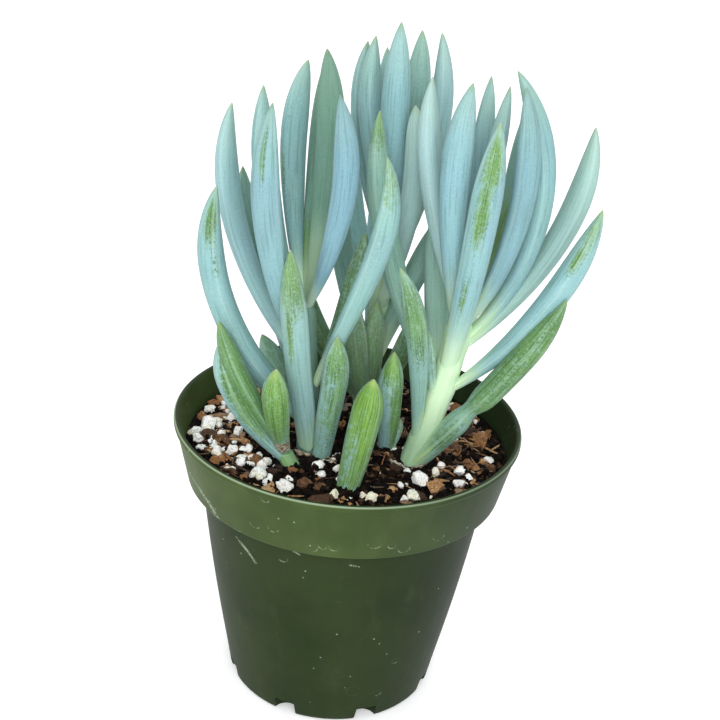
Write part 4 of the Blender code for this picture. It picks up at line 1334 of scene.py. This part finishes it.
def add_light(name, place, size, power, colour):
    """A square soft light at a place in metres, aimed at the middle of the plant."""
    data = bpy.data.lights.new(name, "AREA")
    data.shape = "SQUARE"
    data.size = size
    data.energy = power
    data.color = colour
    place = Vector(place)
    turn = (Vector(LIGHT_AIM) - place).to_track_quat("-Z", "Y").to_matrix()
    placed(name, data).matrix_world = Matrix.Translation(place) @ turn.to_4x4()


def add_world(strength):
    """Even light from all round."""
    world = bpy.data.worlds.new("studio")
    world.use_nodes = True
    back = world.node_tree.nodes["Background"]
    back.inputs["Color"].default_value = SKY_COLOUR
    back.inputs["Strength"].default_value = strength
    bpy.context.scene.world = world


# Settings, operators and panel


def tint(name, description, default):
    """A colour that can be set."""
    return FloatVectorProperty(name=name, description=description, default=default, subtype="COLOR",
                               size=3, min=0.0, max=1.0)


class ChalkColours(bpy.types.PropertyGroup):
    bloom_blue: tint("Blue bloom", "Wax on the bluest leaves", (0.250, 0.450, 0.520))
    bloom_sage: tint("Sage bloom", "Wax on the greenest leaves", (0.235, 0.410, 0.330))
    bloom_mauve: tint("Mauve bloom", "Wax where it leans to lavender", (0.232, 0.378, 0.452))
    bloom_mint: tint("Mint bloom", "Wax towards the tips", (0.380, 0.560, 0.460))
    flesh_dark: tint("Dark flesh", "Leaf under the wax, darker clouds", (0.068, 0.166, 0.032))
    flesh_light: tint("Light flesh", "Leaf under the wax, lighter clouds", (0.125, 0.265, 0.056))
    flesh_young: tint("Young flesh", "Leaf near its tip and on sprouts", (0.150, 0.312, 0.022))
    stem_pale: tint("Stem, high", "Stems and leaf roots high up", (0.660, 0.850, 0.540))
    stem_low: tint("Stem, low", "Stems and leaf roots near the soil", (0.340, 0.510, 0.280))
    pot_light: tint("Pot, light", "Plastic in its lighter clouds", (0.062, 0.094, 0.027))
    pot_deep: tint("Pot, deep", "Plastic in its darker clouds", (0.038, 0.062, 0.017))
    soil_brown: tint("Soil", "Browner crumbs of the soil", (0.012, 0.0065, 0.004))
    floor: tint("Floor", "Studio floor", (0.90, 0.90, 0.90))


class ChalkSizes(bpy.types.PropertyGroup):
    leaf_rings: IntProperty(name="Leaf rings", description="Sections along a leaf", default=64,
                            min=12, max=160)
    leaf_sides: IntProperty(name="Leaf sides", description="Points round a leaf", default=28,
                            min=8, max=64)
    pot_sides: IntProperty(name="Pot sides", description="Points round the pot", default=256,
                           min=48, max=512)
    perlite: IntProperty(name="Perlite bits", description="Small bits of perlite on the soil",
                         default=150, min=0)
    chips: IntProperty(name="Bark chips", description="Small bark chips on the soil",
                       default=420, min=0)
    crumbs: IntProperty(name="Crumbs", description="Crumbs of the soil", default=4200, min=0)
    fibres: IntProperty(name="Fibres", description="Splinters on the soil", default=150, min=0)
    key_power: FloatProperty(name="Key light", description="Power of the main light",
                             default=4.5, unit="POWER")
    sky: FloatProperty(name="Sky", description="Strength of the light from all round",
                       default=0.72)


class CHALK_OT_pot(bpy.types.Operator):
    """Builds the nursery pot with its band, lip, foot and drain openings"""

    bl_idname = "chalk.pot"
    bl_label = "Pot"

    def execute(self, context):
        sides = context.scene.chalk_sizes.pot_sides
        cutters = [drain_cutter(2 * pi * (i + 0.5) / DRAINS) for i in range(DRAINS)]
        mesh = cut(mesh_of("pot_shell", turned(pot_outline(), sides)), cutters)
        mesh.shade_smooth()
        mesh.set_sharp_from_angle(angle=radians(SHARP_FROM))
        add_piece("pot_shell", mesh, "pot_plastic", "pot_plastic", "pot")
        return {"FINISHED"}


class CHALK_OT_soil(bpy.types.Operator):
    """Builds the soil's surface with its crumbs, perlite, bark and fibres"""

    bl_idname = "chalk.soil"
    bl_label = "Soil"

    def execute(self, context):
        sizes = context.scene.chalk_sizes
        draw = np.random.default_rng(SOIL_SEED)
        add_piece("soil_top", soil_surface(), "peat", "potting_mix", "soil")

        feet = [stem.foot[:2] for stem, _, _ in SHOOTS.values()]
        feet = [heaped(draw, sizes.crumbs // 40, foot, FOOT_SPREAD) for foot in feet]
        places = np.concatenate([scattered(draw, sizes.crumbs, *CRUMB_RING), *feet])
        grain = draw.uniform(*CRUMB_SIZE, len(places))
        grain[sizes.crumbs:] *= FOOT_CRUMB
        add_piece("soil_crumbs", pebbles(places, grain, CRUMBS), "peat", "potting_mix")

        large = np.array(PERLITE_BITS)
        white = [pebbles(large[:, :2], large[:, 2], LARGE_PERLITE)]
        clumps = [heaped(draw, sizes.perlite // 4, *spot) for spot in PERLITE_CLUMPS]
        places = np.concatenate([scattered(draw, sizes.perlite // 2, *PERLITE_RING), *clumps])
        small = mostly_small(draw, len(places), *PERLITE_SIZE)
        white.append(pebbles(places, small, SMALL_PERLITE))
        add_piece("perlite_bits", joined(white), "perlite_white", "perlite", "soil")

        large = np.array(BARK_BITS)
        chips = [pebbles(large[:, :2], large[:, 2], LARGE_BARK, large[:, 3])]
        places = [scattered(draw, sizes.chips // 2, *BARK_RING)]
        places += [heaped(draw, sizes.chips // 4, *spot) for spot in BARK_CLUMPS]
        places = np.concatenate(places)
        small = mostly_small(draw, len(places), *BARK_SIZE)
        chips.append(pebbles(places, small, SMALL_BARK))
        add_piece("bark_chips", joined(chips), "bark_brown", "bark", "soil")

        places = np.concatenate([scattered(draw, sizes.fibres // 2, *SPLINTER_RING),
                                 heaped(draw, sizes.fibres // 2, *SPLINTER_CLUMP)])
        threads = [fibres(draw, places, SPLINTERS)]
        places = scattered(draw, sizes.fibres // 3, *ROOT_RING)
        threads.append(fibres(draw, places, ROOTS))
        add_piece("soil_fibres", joined(threads), "bark_brown", "bark", "soil")
        add_piece("stem_husks", husks(HUSKS, HUSK_SEED), "dry_husk", "bark", "soil")
        return {"FINISHED"}


class CHALK_OT_shoots(bpy.types.Operator):
    """Builds every leafy stem and sprout of the clump"""

    bl_idname = "chalk.shoots"
    bl_label = "Leafy stems"

    def execute(self, context):
        number = 1
        for name, (stem, leaves, slot) in SHOOTS.items():
            surfaces = [stem_surface(stem, leaves, number)]
            for leaf in leaves:
                surfaces.append(leaf_surface(stem, leaf, number, context.scene.chalk_sizes))
                number += 1
            add_piece("leaves_" + name, joined(surfaces), "chalky_leaf", slot, name)
        return {"FINISHED"}


class CHALK_OT_stage(bpy.types.Operator):
    """Sets the floor, the soft lights and the camera"""

    bl_idname = "chalk.stage"
    bl_label = "Stage"

    def execute(self, context):
        sizes = context.scene.chalk_sizes
        corners = FLOOR_HALF * np.array([(-1, -1, 0), (1, -1, 0), (1, 1, 0), (-1, 1, 0)])
        square = Surface(corners, np.array([[0, 1, 2, 3]]), np.empty((0, 3), int), {})
        floor = placed("floor", mesh_of("floor", square))
        floor.data.materials.append(finish_named("pale_floor"))
        for name, (place, size, share, colour) in LIGHTS.items():
            add_light(name, place, size, sizes.key_power * share, colour)
        add_world(sizes.sky)
        context.scene.view_settings.view_transform = "Standard"
        add_camera()
        return {"FINISHED"}


OPERATORS = (CHALK_OT_pot, CHALK_OT_soil, CHALK_OT_shoots, CHALK_OT_stage)


class CHALK_PT_panel(bpy.types.Panel):
    """Lists the settings and the steps"""

    bl_idname = "CHALK_PT_panel"
    bl_label = "Blue Chalk Sticks"
    bl_space_type = "VIEW_3D"
    bl_region_type = "UI"
    bl_category = "Chalk Sticks"

    def draw(self, context):
        for settings in (context.scene.chalk_sizes, context.scene.chalk_colours):
            box = self.layout.box()
            for key in settings.bl_rna.properties.keys()[1:]:
                box.prop(settings, key)
        for operator in OPERATORS:
            self.layout.operator(operator.bl_idname)


def register():
    for part in (ChalkColours, ChalkSizes, *OPERATORS, CHALK_PT_panel):
        bpy.utils.register_class(part)
    bpy.types.Scene.chalk_colours = PointerProperty(type=ChalkColours)
    bpy.types.Scene.chalk_sizes = PointerProperty(type=ChalkSizes)


def unregister():
    del bpy.types.Scene.chalk_sizes
    del bpy.types.Scene.chalk_colours
    for part in (CHALK_PT_panel, *OPERATORS, ChalkSizes, ChalkColours):
        bpy.utils.unregister_class(part)


def main():
    register()
    bpy.ops.chalk.stage()
    bpy.ops.chalk.pot()
    bpy.ops.chalk.soil()
    bpy.ops.chalk.shoots()


if __name__ == "__main__":
    main()
